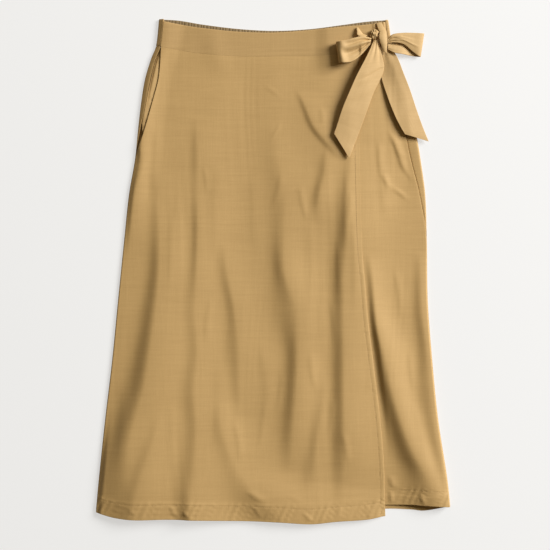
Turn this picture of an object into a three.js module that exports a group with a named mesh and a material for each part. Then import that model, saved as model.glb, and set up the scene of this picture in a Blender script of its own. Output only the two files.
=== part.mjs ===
import * as THREE from 'three';

// A wrap-front midi skirt with a side bow, laid flat on its back. Millimetres.
// +X runs to the side with the bow, +Y to the waist, +Z up from the surface it lies on.
// In the tables x is measured from the middle and drop down from the top of the waist.

// Driving sizes
const LENGTH = 859.4;
const MIDDLE_X = 0.375;
const PLY = 1.0;
const SEAM = 0.3;
const SIDE_SEAM = 0.4;
const REST_GAP = 0.4;
const HEM_DEPTH = 27;
const HEM_PLY = 0.5;
const BACK_BAND_PLY = 2.4;
const FRONT_BAND_PLY = 1.8;
const TIE_PLY = 1.3;
const SIDE_ROLL = 1.6;
const BAND_ROLL = 1.35;
const DOWN_STEPS = 26;

// Side edges of the laid skirt, and how far in from them each seam lies
const SIDES = [
  { drop: 0, left: -193, right: 195.5, frontLeft: 8.5, lipLeft: 8.5, bagLeft: 9, frontRight: 5 },
  { drop: 48, left: -198.4, right: 203.5, frontLeft: 8.5, lipLeft: 8.5, bagLeft: 9, frontRight: 6 },
  { drop: 70, left: -207, right: 211, frontLeft: 16, lipLeft: 8.5, bagLeft: 9, frontRight: 9 },
  { drop: 105, left: -217.3, right: 222, frontLeft: 22.6, lipLeft: 9.7, bagLeft: 10.2, frontRight: 13 },
  { drop: 145, left: -223.8, right: 232.5, frontLeft: 18.7, lipLeft: 8.2, bagLeft: 8.7, frontRight: 16 },
  { drop: 190, left: -229, right: 242.5, frontLeft: 11.2, lipLeft: 3.7, bagLeft: 7.5, frontRight: 18.5 },
  { drop: 240, left: -234, right: 251, frontLeft: 0, lipLeft: 0, bagLeft: 29, frontRight: 17 },
  { drop: 300, left: -244.3, right: 259, frontLeft: 0, lipLeft: 0, bagLeft: 26, frontRight: 10 },
  { drop: 376, left: -252.3, right: 261.6, frontLeft: 0, lipLeft: 0, bagLeft: 26, frontRight: 0 },
  { drop: 478, left: -262.7, right: 263.2, frontLeft: 0, lipLeft: 0, bagLeft: 26, frontRight: 0 },
  { drop: 580, left: -272.7, right: 270.8, frontLeft: 0, lipLeft: 0, bagLeft: 26, frontRight: 0 },
  { drop: 682, left: -284.8, right: 281, frontLeft: 0, lipLeft: 0, bagLeft: 26, frontRight: 0 },
  { drop: 785, left: -295.7, right: 296.8, frontLeft: 0, lipLeft: 0, bagLeft: 26, frontRight: 0 },
  { drop: 850, left: -301.6, right: 303, frontLeft: 0, lipLeft: 0, bagLeft: 26, frontRight: 0 },
];

// Waist lines: top of the back band, top of the front band, lower seam of both
const WAIST = [
  { x: -200, back: 2.2, front: 3.2, seam: 47.8 },
  { x: -160, back: 1.4, front: 11, seam: 54.5 },
  { x: -120, back: 8.7, front: 17.8, seam: 60.8 },
  { x: -60, back: 17.8, front: 23.4, seam: 65 },
  { x: 0, back: 21.8, front: 25, seam: 65.3 },
  { x: 60, back: 19.1, front: 21.2, seam: 65 },
  { x: 120, back: 10.2, front: 14.7, seam: 62.5 },
  { x: 160, back: 4.2, front: 11, seam: 57 },
  { x: 204, back: 3, front: 4.8, seam: 46.5 },
];

// Hem lines of the overlap, the underlay and the back
const HEMS = [
  { x: -303, overlap: 838.5, underlay: 838, back: 834 },
  { x: -270, overlap: 847.3, underlay: 838, back: 841 },
  { x: -235, overlap: 850.8, underlay: 838, back: 844.5 },
  { x: -180, overlap: 850.3, underlay: 838, back: 845 },
  { x: -65, overlap: 853.2, underlay: 837, back: 847 },
  { x: 8, overlap: 855.3, underlay: 834, back: 848 },
  { x: 65, overlap: 858.4, underlay: 831, back: 847 },
  { x: 107, overlap: 854.6, underlay: 829, back: 844 },
  { x: 161, overlap: 851, underlay: 827, back: 838 },
  { x: 191, overlap: 845.5, underlay: 826.7, back: 833.6 },
  { x: 236, overlap: 845, underlay: 826.2, back: 834.9 },
  { x: 257, overlap: 845, underlay: 827.2, back: 836.9 },
  { x: 303, overlap: 845, underlay: 829.5, back: 829 },
];

// Free edge of the overlap, from the waist seam to the hem
const FREE_EDGE = [
  { drop: 36, x: 144.5 },
  { drop: 274, x: 148 },
  { drop: 394, x: 151.3 },
  { drop: 451, x: 156.4 },
  { drop: 512, x: 161.5 },
  { drop: 580, x: 170 },
  { drop: 679, x: 182 },
  { drop: 759, x: 188.7 },
  { drop: 850, x: 191 },
];
const UNDERLAY_HIDDEN_EDGE = 22;
const UNDERLAY_BAND_END = 106;
const BAND_STEP_END = 96;

// Folds: a crest that runs down the cloth, its rise, and its spread on the left and the right
const OVERLAP_FOLDS = [
  { name: 'long slant at the left', rows: [
    { drop: 255, x: -193, rise: 0, steep: 8, gentle: 30 },
    { drop: 292, x: -195, rise: 1.3, steep: 8, gentle: 40 },
    { drop: 360, x: -192, rise: 2.8, steep: 9, gentle: 45 },
    { drop: 428, x: -192, rise: 6, steep: 10, gentle: 50 },
    { drop: 496, x: -198.5, rise: 7.6, steep: 12, gentle: 55 },
    { drop: 564, x: -207, rise: 10, steep: 14, gentle: 60 },
    { drop: 632, x: -218, rise: 12, steep: 17, gentle: 65 },
    { drop: 700, x: -239, rise: 12.5, steep: 21, gentle: 70 },
    { drop: 740, x: -250, rise: 12, steep: 25, gentle: 75 },
    { drop: 775, x: -256, rise: 11.5, steep: 29, gentle: 75 },
    { drop: 810, x: -258, rise: 11, steep: 31, gentle: 75 },
    { drop: 850, x: -258, rise: 10, steep: 31, gentle: 75 },
  ] },
  { name: 'lower slope at the left', rows: [
    { drop: 665, x: -188, rise: 0, steep: 8, gentle: 26 },
    { drop: 709, x: -198, rise: 1.4, steep: 8, gentle: 26 },
    { drop: 773, x: -220, rise: 2.8, steep: 10, gentle: 28 },
    { drop: 800, x: -228, rise: 2.6, steep: 10, gentle: 28 },
    { drop: 850, x: -240, rise: 1.4, steep: 10, gentle: 28 },
  ] },
  { name: 'upright at the left', rows: [
    { drop: 165, x: -127, rise: 0, steep: 6, gentle: 26 },
    { drop: 224, x: -127, rise: 1.7, steep: 6, gentle: 28 },
    { drop: 291, x: -128, rise: 1.2, steep: 6, gentle: 28 },
    { drop: 360, x: -126, rise: 3.2, steep: 6.5, gentle: 28 },
    { drop: 428, x: -128, rise: 3, steep: 7, gentle: 28 },
    { drop: 496, x: -131, rise: 2, steep: 9, gentle: 32 },
    { drop: 564, x: -126, rise: 3, steep: 10, gentle: 40 },
    { drop: 632, x: -132, rise: 4, steep: 11, gentle: 48 },
    { drop: 700, x: -127, rise: 4.8, steep: 13, gentle: 52 },
    { drop: 768, x: -132, rise: 5.6, steep: 14, gentle: 55 },
    { drop: 810, x: -138, rise: 6.4, steep: 13, gentle: 55 },
    { drop: 850, x: -139, rise: 8, steep: 11, gentle: 55 },
  ] },
  { name: 'short one left of the middle', rows: [
    { drop: 380, x: -80, rise: 0, steep: 8, gentle: 26 },
    { drop: 428, x: -77, rise: 2.2, steep: 8, gentle: 28 },
    { drop: 496, x: -64, rise: 3.3, steep: 8, gentle: 28 },
    { drop: 564, x: -57, rise: 3.8, steep: 11, gentle: 30 },
    { drop: 632, x: -55, rise: 2, steep: 9, gentle: 30 },
    { drop: 680, x: -50, rise: 0, steep: 9, gentle: 30 },
  ] },
  { name: 'slant down to the hem left of the middle', rows: [
    { drop: 650, x: -90, rise: 0, steep: 8, gentle: 30 },
    { drop: 700, x: -84, rise: 2, steep: 9, gentle: 32 },
    { drop: 733, x: -74, rise: 2.4, steep: 11, gentle: 36 },
    { drop: 768, x: -58, rise: 3, steep: 16, gentle: 44 },
    { drop: 810, x: -24, rise: 7, steep: 28, gentle: 60 },
    { drop: 850, x: 20, rise: 8, steep: 36, gentle: 75 },
  ] },
  { name: 'upright at the middle', rows: [
    { drop: 165, x: 6, rise: 0, steep: 14, gentle: 34 },
    { drop: 224, x: 8, rise: 1.2, steep: 14, gentle: 34 },
    { drop: 291, x: 22, rise: 3.2, steep: 16, gentle: 36 },
    { drop: 360, x: 21, rise: 4, steep: 14, gentle: 34 },
    { drop: 428, x: 20, rise: 6, steep: 11, gentle: 32 },
    { drop: 496, x: 41, rise: 6.8, steep: 20, gentle: 34 },
    { drop: 564, x: 43, rise: 6.7, steep: 11.5, gentle: 32 },
    { drop: 632, x: 40, rise: 7.2, steep: 11.5, gentle: 32 },
    { drop: 700, x: 35, rise: 5.3, steep: 11.5, gentle: 32 },
    { drop: 768, x: 31, rise: 0.8, steep: 10, gentle: 28 },
    { drop: 790, x: 31, rise: 0, steep: 10, gentle: 28 },
  ] },
  { name: 'curve below the bow', rows: [
    { drop: 125, x: 44, rise: 0, steep: 8, gentle: 24 },
    { drop: 157, x: 60, rise: 2.2, steep: 7, gentle: 24 },
    { drop: 190, x: 77, rise: 2.4, steep: 7, gentle: 22 },
    { drop: 212, x: 97, rise: 2.2, steep: 7, gentle: 20 },
    { drop: 226, x: 112, rise: 1.4, steep: 7, gentle: 20 },
    { drop: 240, x: 124, rise: 0, steep: 7, gentle: 20 },
  ] },
  { name: 'short one at the right hip', rows: [
    { drop: 218, x: 95, rise: 0, steep: 6, gentle: 16 },
    { drop: 240, x: 91, rise: 1.6, steep: 6, gentle: 18 },
    { drop: 265, x: 88, rise: 2.6, steep: 6, gentle: 18 },
    { drop: 301, x: 80, rise: 3.2, steep: 7, gentle: 18 },
    { drop: 325, x: 77, rise: 1.5, steep: 7, gentle: 18 },
    { drop: 350, x: 75, rise: 0, steep: 7, gentle: 18 },
  ] },
  { name: 'low one right of the middle', rows: [
    { drop: 600, x: 90, rise: 0, steep: 8, gentle: 20 },
    { drop: 632, x: 89, rise: 1.2, steep: 8, gentle: 20 },
    { drop: 700, x: 80, rise: 2.8, steep: 8, gentle: 20 },
    { drop: 768, x: 70, rise: 2.4, steep: 10, gentle: 20 },
    { drop: 815, x: 64, rise: 0, steep: 10, gentle: 20 },
  ] },
];
const UNDERLAY_FOLDS = [
  { name: 'long slant beside the free edge', rows: [
    { drop: 400, x: 152, rise: 0, steep: 7, gentle: 18 },
    { drop: 428, x: 156, rise: 2, steep: 7, gentle: 18 },
    { drop: 496, x: 165, rise: 5, steep: 8, gentle: 20 },
    { drop: 564, x: 187.5, rise: 8, steep: 11.5, gentle: 24 },
    { drop: 632, x: 202, rise: 10, steep: 12, gentle: 25 },
    { drop: 700, x: 223, rise: 11, steep: 14, gentle: 26 },
    { drop: 736, x: 238, rise: 11, steep: 16, gentle: 26 },
    { drop: 768, x: 254, rise: 10.5, steep: 19, gentle: 24 },
    { drop: 810, x: 268, rise: 9.6, steep: 33, gentle: 22 },
    { drop: 845, x: 274, rise: 8.8, steep: 36, gentle: 20 },
  ] },
  { name: 'upright at the side', rows: [
    { drop: 395, x: 245, rise: 0, steep: 6, gentle: 11 },
    { drop: 428, x: 246, rise: 1, steep: 6, gentle: 11 },
    { drop: 496, x: 248, rise: 2.4, steep: 6, gentle: 11 },
    { drop: 564, x: 257, rise: 3, steep: 7, gentle: 12 },
    { drop: 632, x: 263, rise: 3, steep: 8, gentle: 12 },
    { drop: 700, x: 274, rise: 2.4, steep: 7, gentle: 11 },
    { drop: 768, x: 284, rise: 1, steep: 6, gentle: 8 },
    { drop: 800, x: 290, rise: 0, steep: 6, gentle: 8 },
  ] },
];

// Both fronts rise together where they lie double
const SHARED_SWELL = [
  { name: 'broad swell below the bow', rows: [
    { drop: 80, x: 135, rise: 0, steep: 60, gentle: 42 },
    { drop: 160, x: 138, rise: 3, steep: 60, gentle: 42 },
    { drop: 300, x: 142, rise: 3.2, steep: 55, gentle: 42 },
    { drop: 450, x: 150, rise: 2.6, steep: 50, gentle: 40 },
    { drop: 560, x: 156, rise: 1.2, steep: 50, gentle: 36 },
    { drop: 640, x: 160, rise: 0, steep: 50, gentle: 30 },
  ] },
  { name: 'upright near the free edge', rows: [
    { drop: 215, x: 134, rise: 0, steep: 8, gentle: 30 },
    { drop: 291, x: 131, rise: 3.6, steep: 11, gentle: 42 },
    { drop: 360, x: 128, rise: 6, steep: 10.5, gentle: 44 },
    { drop: 428, x: 122, rise: 6.6, steep: 11, gentle: 44 },
    { drop: 496, x: 120, rise: 7, steep: 11, gentle: 42 },
    { drop: 564, x: 121, rise: 7, steep: 11, gentle: 40 },
    { drop: 632, x: 121, rise: 8, steep: 11, gentle: 40 },
    { drop: 700, x: 122, rise: 8.4, steep: 12, gentle: 38 },
    { drop: 745, x: 122, rise: 5.8, steep: 12, gentle: 36 },
    { drop: 785, x: 121, rise: 2.6, steep: 11, gentle: 34 },
    { drop: 825, x: 120, rise: 0.6, steep: 10, gentle: 30 },
    { drop: 850, x: 120, rise: 0, steep: 10, gentle: 30 },
  ] },
];

// Loops, tails and other stretches of the two ties. Each row is a cut across the stretch:
// its edges a and b with x, drop and height, and how far its middle stands up between them.
const LEFT_LOOP = [
  { ax: 166.8, ad: 36.2, az: 14, bx: 164.5, bd: 46.5, bz: 13.5, belly: 2 },
  { ax: 151.1, ad: 33.4, az: 18, bx: 150, bd: 64, bz: 16, belly: 3 },
  { ax: 127, ad: 39.8, az: 21, bx: 134, bd: 76, bz: 19, belly: 1 },
  { ax: 113.5, ad: 42.3, az: 21.5, bx: 119, bd: 78.5, bz: 20.5, belly: 0 },
  { ax: 107, ad: 43, az: 15, bx: 112, bd: 78.5, bz: 14.5, belly: 0 },
  { ax: 113.5, ad: 42.5, az: 8.5, bx: 119, bd: 78, bz: 8.5, belly: 0 },
  { ax: 127, ad: 40.5, az: 8.3, bx: 134, bd: 75, bz: 8.3, belly: 0 },
  { ax: 149, ad: 37, az: 9, bx: 150, bd: 60, bz: 9, belly: 0.5 },
  { ax: 166, ad: 38, az: 9.8, bx: 163.5, bd: 46, bz: 9.8, belly: 0.5 },
];
const RIGHT_LOOP = [
  { ax: 194.3, ad: 37, az: 14, bx: 195, bd: 44.5, bz: 14, belly: 1 },
  { ax: 203, ad: 29.8, az: 15.5, bx: 207, bd: 43.5, bz: 15, belly: 2 },
  { ax: 219.3, ad: 27.2, az: 14.5, bx: 222, bd: 46.5, bz: 14, belly: 2 },
  { ax: 238, ad: 26.8, az: 12.5, bx: 237, bd: 58, bz: 11, belly: 1.5 },
  { ax: 252, ad: 27, az: 10, bx: 246.5, bd: 64.8, bz: 9.5, belly: 0.5 },
  { ax: 256.3, ad: 27.2, az: 6, bx: 250.4, bd: 66.3, bz: 5.8, belly: 0 },
  { ax: 251.5, ad: 28, az: 2.2, bx: 245, bd: 66, bz: 2.2, belly: 0 },
  { ax: 237, ad: 29.5, az: 2.6, bx: 233, bd: 64.5, bz: 2.6, belly: 0 },
  { ax: 220, ad: 32, az: 6, bx: 219.3, bd: 62.4, bz: 6, belly: 0.5 },
  { ax: 207, ad: 36, az: 9.5, bx: 206, bd: 60.5, bz: 9.5, belly: 0.8 },
  { ax: 195, ad: 42.5, az: 11.5, bx: 195, bd: 55, bz: 11.5, belly: 1 },
];

// The two tails: their heights stand above the cloth below
const LEFT_TAIL = [
  { ax: 171, ad: 39.4, az: 4.6, bx: 178.5, bd: 38.6, bz: 4.6, belly: 1 },
  { ax: 160, ad: 63.8, az: 7.5, bx: 184, bd: 62, bz: 5, belly: 2 },
  { ax: 142.3, ad: 97.8, az: 6.5, bx: 188, bd: 90, bz: 3.2, belly: 1.2 },
  { ax: 130, ad: 125, az: 6, bx: 171.7, bd: 126, bz: 3, belly: 1 },
  { ax: 118.2, ad: 153, az: 5, bx: 160, bd: 157, bz: 2.5, belly: 1 },
  { ax: 110, ad: 178, az: 4, bx: 148, bd: 190, bz: 2.2, belly: 0.8 },
  { ax: 103.5, ad: 197.2, az: 3, bx: 129.2, bd: 238.8, bz: 2.5, belly: 0.3 },
];
const RIGHT_TAIL = [
  { ax: 183.5, ad: 47, az: 0.9, bx: 193, bd: 46, bz: 0.9, belly: 0.6 },
  { ax: 182, ad: 66, az: 1, bx: 209.5, bd: 64.4, bz: 1.6, belly: 0.8 },
  { ax: 183, ad: 97, az: 0.6, bx: 222, bd: 95, bz: 1.6, belly: 0.8 },
  { ax: 191.5, ad: 127, az: 1, bx: 232.5, bd: 122, bz: 1.4, belly: 0.6 },
  { ax: 203.5, ad: 160, az: 2, bx: 244.5, bd: 158, bz: 2, belly: 0.6 },
  { ax: 215, ad: 184, az: 2, bx: 255, bd: 187, bz: 1.4, belly: 0.5 },
  { ax: 223.4, ad: 198, az: 2.4, bx: 264.4, bd: 210, bz: 0.6, belly: 0.3 },
];
const LEFT_TIE_EAR = [
  { ax: 141, ad: 18.5, az: 8, bx: 146, bd: 17, bz: 8.6, belly: 0 },
  { ax: 144.5, ad: 24, az: 9.5, bx: 150.5, bd: 23, bz: 12, belly: 0.4 },
  { ax: 147, ad: 30, az: 10.5, bx: 153.5, bd: 29.5, bz: 14.5, belly: 0.4 },
  { ax: 158, ad: 33.3, az: 11.5, bx: 161.5, bd: 30.5, bz: 13.5, belly: 0.4 },
];
const TIE_ROOT = [
  { ax: 175, ad: 9.5, az: 6.3, bx: 185.5, bd: 8, bz: 6.3, belly: 0.6 },
  { ax: 177, ad: 17, az: 8, bx: 188, bd: 15.5, bz: 8, belly: 0.8 },
  { ax: 182, ad: 24.5, az: 11.5, bx: 192.5, bd: 23.5, bz: 11, belly: 1 },
];
const KNOT_BAND = [
  { ax: 181.6, ad: 26, az: 13, bx: 192.6, bd: 26.5, bz: 11.5, belly: 1 },
  { ax: 179.6, ad: 34, az: 16, bx: 193.4, bd: 35.5, bz: 14.5, belly: 1.4 },
  { ax: 182, ad: 45, az: 16.3, bx: 193.5, bd: 46.5, bz: 14.5, belly: 1.4 },
  { ax: 187.5, ad: 59.5, az: 13, bx: 192.5, bd: 60.5, bz: 12.5, belly: 0.8 },
];
const KNOT = { x: 173, drop: 29.5, height: 11.1, across: 15, along: 18.5, tall: 12, pleats: 5 };

// Curve through the rows of a table
function through(values, places, at) {
  const last = values.length - 1;
  let i = places.findIndex((place) => place > at) - 1;
  if (i === -2) i = last - 1;
  i = Math.max(0, Math.min(last - 1, i));
  const span = places[i + 1] - places[i];
  const t = THREE.MathUtils.clamp((at - places[i]) / span, 0, 1);
  const slope = (k) => {
    const low = Math.max(0, k - 1);
    const high = Math.min(last, k + 1);
    return (values[high] - values[low]) / (places[high] - places[low]);
  };
  const m0 = slope(i) * span;
  const m1 = slope(i + 1) * span;
  const t2 = t * t;
  const t3 = t2 * t;
  return (2 * t3 - 3 * t2 + 1) * values[i] + (t3 - 2 * t2 + t) * m0
    + (3 * t2 - 2 * t3) * values[i + 1] + (t3 - t2) * m1;
}

function lookup(table, key, column, at) {
  return through(table.map((row) => row[column]), table.map((row) => row[key]), at);
}

const side = (column, drop) => lookup(SIDES, 'drop', column, drop);
const inset = (column, drop) => Math.max(0, side(column, drop));
const waist = (column, x) => lookup(WAIST, 'x', column, x);
const hem = (column, x) => lookup(HEMS, 'x', column, x);
const freeEdge = (drop) => lookup(FREE_EDGE, 'drop', 'x', drop);
const smooth = (low, high, at) => THREE.MathUtils.smoothstep(at, low, high);
const mix = THREE.MathUtils.lerp;

// The sides are told apart by a sign: -1 is the left one, 1 the right one
const sideX = (sign, drop) => side(sign < 0 ? 'left' : 'right', drop);
const frontInset = (sign, drop) => inset(sign < 0 ? 'frontLeft' : 'frontRight', drop);
const lipInset = (sign, drop) => inset(sign < 0 ? 'lipLeft' : 'frontRight', drop);

// Drop at which a line across the skirt meets an edge that runs down it
function dropAtEdge(dropAt, edge) {
  let drop = dropAt(0);
  for (let step = 0; step < 4; step++) drop = dropAt(edge(drop));
  return drop;
}

// Folds have a short steep flank on the left of the crest and a long gentle one on the right
function foldHeight(folds, x, drop) {
  let height = 0;
  for (const { rows } of folds) {
    if (drop < rows[0].drop || drop > rows.at(-1).drop + 9) continue;
    const along = (column) => lookup(rows, 'drop', column, drop);
    const away = x - along('x');
    const spread = along(away < 0 ? 'steep' : 'gentle');
    height += Math.max(0, along('rise')) * Math.exp(-0.5 * (away / spread) ** 2);
  }
  return height;
}

// Levels of the middle of each wall above the surface
const BACK_LEVEL = PLY / 2;
const ROLL_TOP = BACK_LEVEL + 2 * SIDE_ROLL;
const FIRST_LEVEL = BACK_LEVEL + PLY + SEAM;
const BACK_BAND_LEVEL = BACK_BAND_PLY / 2;
const FRONT_BAND_LEVEL = BACK_BAND_PLY + SEAM + FRONT_BAND_PLY / 2;
const TOP_BAND_LEVEL = FRONT_BAND_LEVEL + FRONT_BAND_PLY + SEAM;
const HIDDEN_TOP_LEVEL = FRONT_BAND_LEVEL - PLY - SEAM;

const ROLL_SETTLE = 30;
const HANG_SETTLE = 45;
const EDGE_CALM = 11;
const HEM_STEP = 6;
const EDGE_LIFT = 0.8;

// How far round the side fold a point at a given distance in from the edge lies
const rollLength = (roll) => roll * Math.PI / 2;
const arcAt = (inward, roll, ply) => inward - ply / 2 - roll + rollLength(roll);

// A point of a wall round the side fold: arc 0 is the outermost line, higher is up and inward
function roundSide(drop, sign, arc, roll, ply) {
  const edge = sideX(sign, drop) - sign * (ply / 2 + roll);
  const quarter = rollLength(roll);
  if (Math.abs(arc) < quarter) {
    return { x: edge + sign * roll * Math.cos(arc / roll), dip: roll * (1 - Math.sin(arc / roll)) };
  }
  const beyond = Math.abs(arc) - quarter;
  return { x: edge - sign * beyond, dip: arc > 0 ? 0 : 2 * roll };
}

// A pocket bag lies between the back and the front panel on each side
const BAG_TOP = 74;
const BAG_LOW = 322;
const BAG_SLANT = 40;
const BAG_INNER = 116;
const BAG_ROUND = 30;
const BAG_LIFT = 0.7;
const BAG_TUCK = 8;
const bagInset = (sign, drop) => (sign < 0 ? inset('bagLeft', drop) : inset('frontRight', drop) + BAG_TUCK);

function bagLift(sign, arc, drop) {
  const start = bagInset(sign, drop);
  const inward = arc + PLY / 2 + SIDE_ROLL - rollLength(SIDE_ROLL);
  const x = Math.abs(sideX(sign, drop) - sign * inward);
  const outer = smooth(start - 25, start - 15, inward);
  const inner = smooth(BAG_INNER - 90, BAG_INNER - 14, x);
  const lower = 1 - smooth(BAG_LOW + 16, BAG_LOW + 100, drop);
  return (PLY + REST_GAP) * outer * inner * lower;
}

const sideArc = (sign, x, drop) => arcAt(sign * (sideX(sign, drop) - x), SIDE_ROLL, PLY);
const rollLift = (arc) => (ROLL_TOP - FIRST_LEVEL) * (1 - smooth(4, ROLL_SETTLE, arc));
const hang = (x, drop) => 1 - smooth(0, HANG_SETTLE, drop - waist('seam', x));
const hemStep = (line, x, drop) => smooth(0, HEM_STEP, drop - (hem(line, x) - HEM_DEPTH));

function underlayTop(x) {
  return mix(HIDDEN_TOP_LEVEL, FRONT_BAND_LEVEL, smooth(UNDERLAY_BAND_END - 4, UNDERLAY_BAND_END + 4, x));
}

function bandLevel(x) {
  return mix(FRONT_BAND_LEVEL, TOP_BAND_LEVEL, smooth(BAND_STEP_END - 26, BAND_STEP_END, x));
}

function underlayLevel(x, drop) {
  const arc = sideArc(1, x, drop);
  const calm = smooth(0, EDGE_CALM, arc);
  const rest = FIRST_LEVEL + bagLift(1, arc, drop) + HEM_PLY * hemStep('back', x, drop);
  const clearOfOverlap = smooth(2, 14, x - freeEdge(drop));
  const folded = foldHeight(UNDERLAY_FOLDS, x, drop) * calm * clearOfOverlap;
  const swell = foldHeight(SHARED_SWELL, x, drop) * calm;
  const seamed = hang(x, drop);
  return mix(rest + swell, underlayTop(x), seamed) + rollLift(arc) * (1 - seamed) + folded;
}

function overlapLevel(x, drop) {
  const arc = sideArc(-1, x, drop);
  const nearEdge = smooth(-14, 0, x - freeEdge(drop));
  const calm = smooth(0, EDGE_CALM, arc) * (1 - nearEdge * 0.75);
  const step = PLY + REST_GAP;
  const under = smooth(UNDERLAY_HIDDEN_EDGE - 80, UNDERLAY_HIDDEN_EDGE - 8, x);
  const alone = FIRST_LEVEL + bagLift(-1, arc, drop) + HEM_PLY * hemStep('back', x, drop);
  const carried = FIRST_LEVEL + bagLift(1, sideArc(1, x, drop), drop)
    + HEM_PLY * (hemStep('back', x, drop) + hemStep('underlay', x, drop)) + step;
  const rest = mix(alone, carried, under) + foldHeight(SHARED_SWELL, x, drop)
    + foldHeight(OVERLAP_FOLDS, x, drop) * calm + EDGE_LIFT * nearEdge * smooth(200, 320, drop);
  const seamed = hang(x, drop);
  return mix(rest, bandLevel(x), seamed) + rollLift(arc) * (1 - seamed);
}

// The bag keeps just under the front panel
function bagLevel(sign, x, drop) {
  const arc = sideArc(sign, x, drop);
  const seamed = hang(x, drop);
  const top = sign < 0 ? FRONT_BAND_LEVEL : underlayTop(x);
  return mix(FIRST_LEVEL, top - PLY - REST_GAP, seamed) + BAG_LIFT * rollLift(arc) * (1 - seamed);
}

// Height of the cloth that the tails lie on
function clothLevel(x, drop) {
  const inside = Math.min(x, sideX(1, drop) - 4 * PLY);
  const level = inside < freeEdge(drop) + 3 * PLY ? overlapLevel(inside, drop) : underlayLevel(inside, drop);
  return drop < waist('seam', inside) ? Math.max(level, bandLevel(inside)) : level;
}

const place = (x, drop, z) => new THREE.Vector3(x - MIDDLE_X, LENGTH / 2 - drop, z);

// A closed wall on a grid of points of its middle. above and below are its two half walls.
function wall(rows, above, below) {
  const high = rows.length;
  const wide = rows[0].length;
  const half = (value, i, j) => (typeof value === 'function' ? value(i, j) : value);
  const points = [];
  for (const sign of [1, -1]) {
    for (let i = 0; i < high; i++) {
      for (let j = 0; j < wide; j++) {
        const down = rows[Math.min(i + 1, high - 1)][j].clone().sub(rows[Math.max(i - 1, 0)][j]);
        const over = rows[i][Math.min(j + 1, wide - 1)].clone().sub(rows[i][Math.max(j - 1, 0)]);
        const normal = down.cross(over).normalize();
        const reach = sign > 0 ? half(above, i, j) : -half(below, i, j);
        points.push(rows[i][j].clone().addScaledVector(normal, reach));
      }
    }
  }
  const at = (i, j, layer) => layer * high * wide + i * wide + j;
  const faces = [];
  for (let i = 0; i < high - 1; i++) {
    for (let j = 0; j < wide - 1; j++) {
      for (const layer of [0, 1]) {
        const quad = [at(i, j, layer), at(i + 1, j, layer), at(i + 1, j + 1, layer), at(i, j + 1, layer)];
        if (layer === 1) quad.reverse();
        faces.push(quad[0], quad[1], quad[2], quad[0], quad[2], quad[3]);
      }
    }
  }
  const rim = [];
  for (let i = 0; i < high - 1; i++) rim.push([i, 0]);
  for (let j = 0; j < wide - 1; j++) rim.push([high - 1, j]);
  for (let i = high - 1; i > 0; i--) rim.push([i, wide - 1]);
  for (let j = wide - 1; j > 0; j--) rim.push([0, j]);
  rim.forEach(([i, j], k) => {
    const [ni, nj] = rim[(k + 1) % rim.length];
    const quad = [at(i, j, 1), at(ni, nj, 1), at(ni, nj, 0), at(i, j, 0)];
    faces.push(quad[0], quad[1], quad[2], quad[0], quad[2], quad[3]);
  });
  const geometry = new THREE.BufferGeometry();
  geometry.setAttribute('position', new THREE.Float32BufferAttribute(points.flatMap((p) => p.toArray()), 3));
  geometry.setIndex(faces);
  geometry.computeVertexNormals();
  return geometry;
}

const evenly = (count) => Array.from({ length: count }, (_, k) => k / (count - 1));

// Cloth colours and finish
const cloth = (color) => new THREE.MeshStandardMaterial({ color, roughness: 0.9, metalness: 0 });
const PANEL_TAN = cloth(0xb9945e);
const BAND_TAN = cloth(0xb6945f);
const TIE_TAN = cloth(0xceaa76);
const FACING_TAN = cloth(0xc09c68);
const INSIDE_OLIVE = cloth(0x6b5a35);

const skirt = new THREE.Group();

function add(name, geometry, material) {
  const piece = new THREE.Mesh(geometry, material);
  piece.name = name;
  skirt.add(piece);
}

// The back lies on the surface and rolls up round both side folds to its seams
function backPanel() {
  const flatPlaces = [0.1, 0.2, 0.3, 0.4, 0.5, 0.6, 0.7, 0.8, 0.86, 0.9, 0.935, 0.965];
  const roundSteps = 6;
  const quarter = rollLength(SIDE_ROLL);
  const rows = evenly(DOWN_STEPS).map((v) => {
    const dropAt = (x) => mix(waist('seam', x) + 2 * SEAM, hem('back', x), v);
    const sideDrop = (sign) => dropAtEdge(dropAt, (drop) => sideX(sign, drop));
    const turn = (sign) => {
      const drop = sideDrop(sign);
      const end = Math.max(arcAt(lipInset(sign, drop), SIDE_ROLL, PLY), 0) - SIDE_SEAM / 2;
      return evenly(roundSteps).map((u) => {
        const arc = mix(-quarter, end, u);
        const spot = roundSide(drop, sign, arc, SIDE_ROLL, PLY);
        const lift = arc > quarter ? rollLift(arc) + FIRST_LEVEL : ROLL_TOP;
        return place(spot.x, drop, lift - spot.dip);
      });
    };
    const start = sideX(-1, sideDrop(-1)) + PLY / 2 + SIDE_ROLL;
    const stop = sideX(1, sideDrop(1)) - PLY / 2 - SIDE_ROLL;
    const flat = flatPlaces.map((u) => {
      const x = mix(start, stop, u);
      return place(x, dropAt(x), BACK_LEVEL);
    });
    return [...turn(-1).reverse(), ...flat, ...turn(1)];
  });
  add('back_panel', wall(rows, PLY / 2, PLY / 2), PANEL_TAN);
}

// Columns that follow the side fold closely and then spread over the panel
const CLOSE_STEPS = [0, 0.8, 1.7, 2.6, 6, 12];

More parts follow.
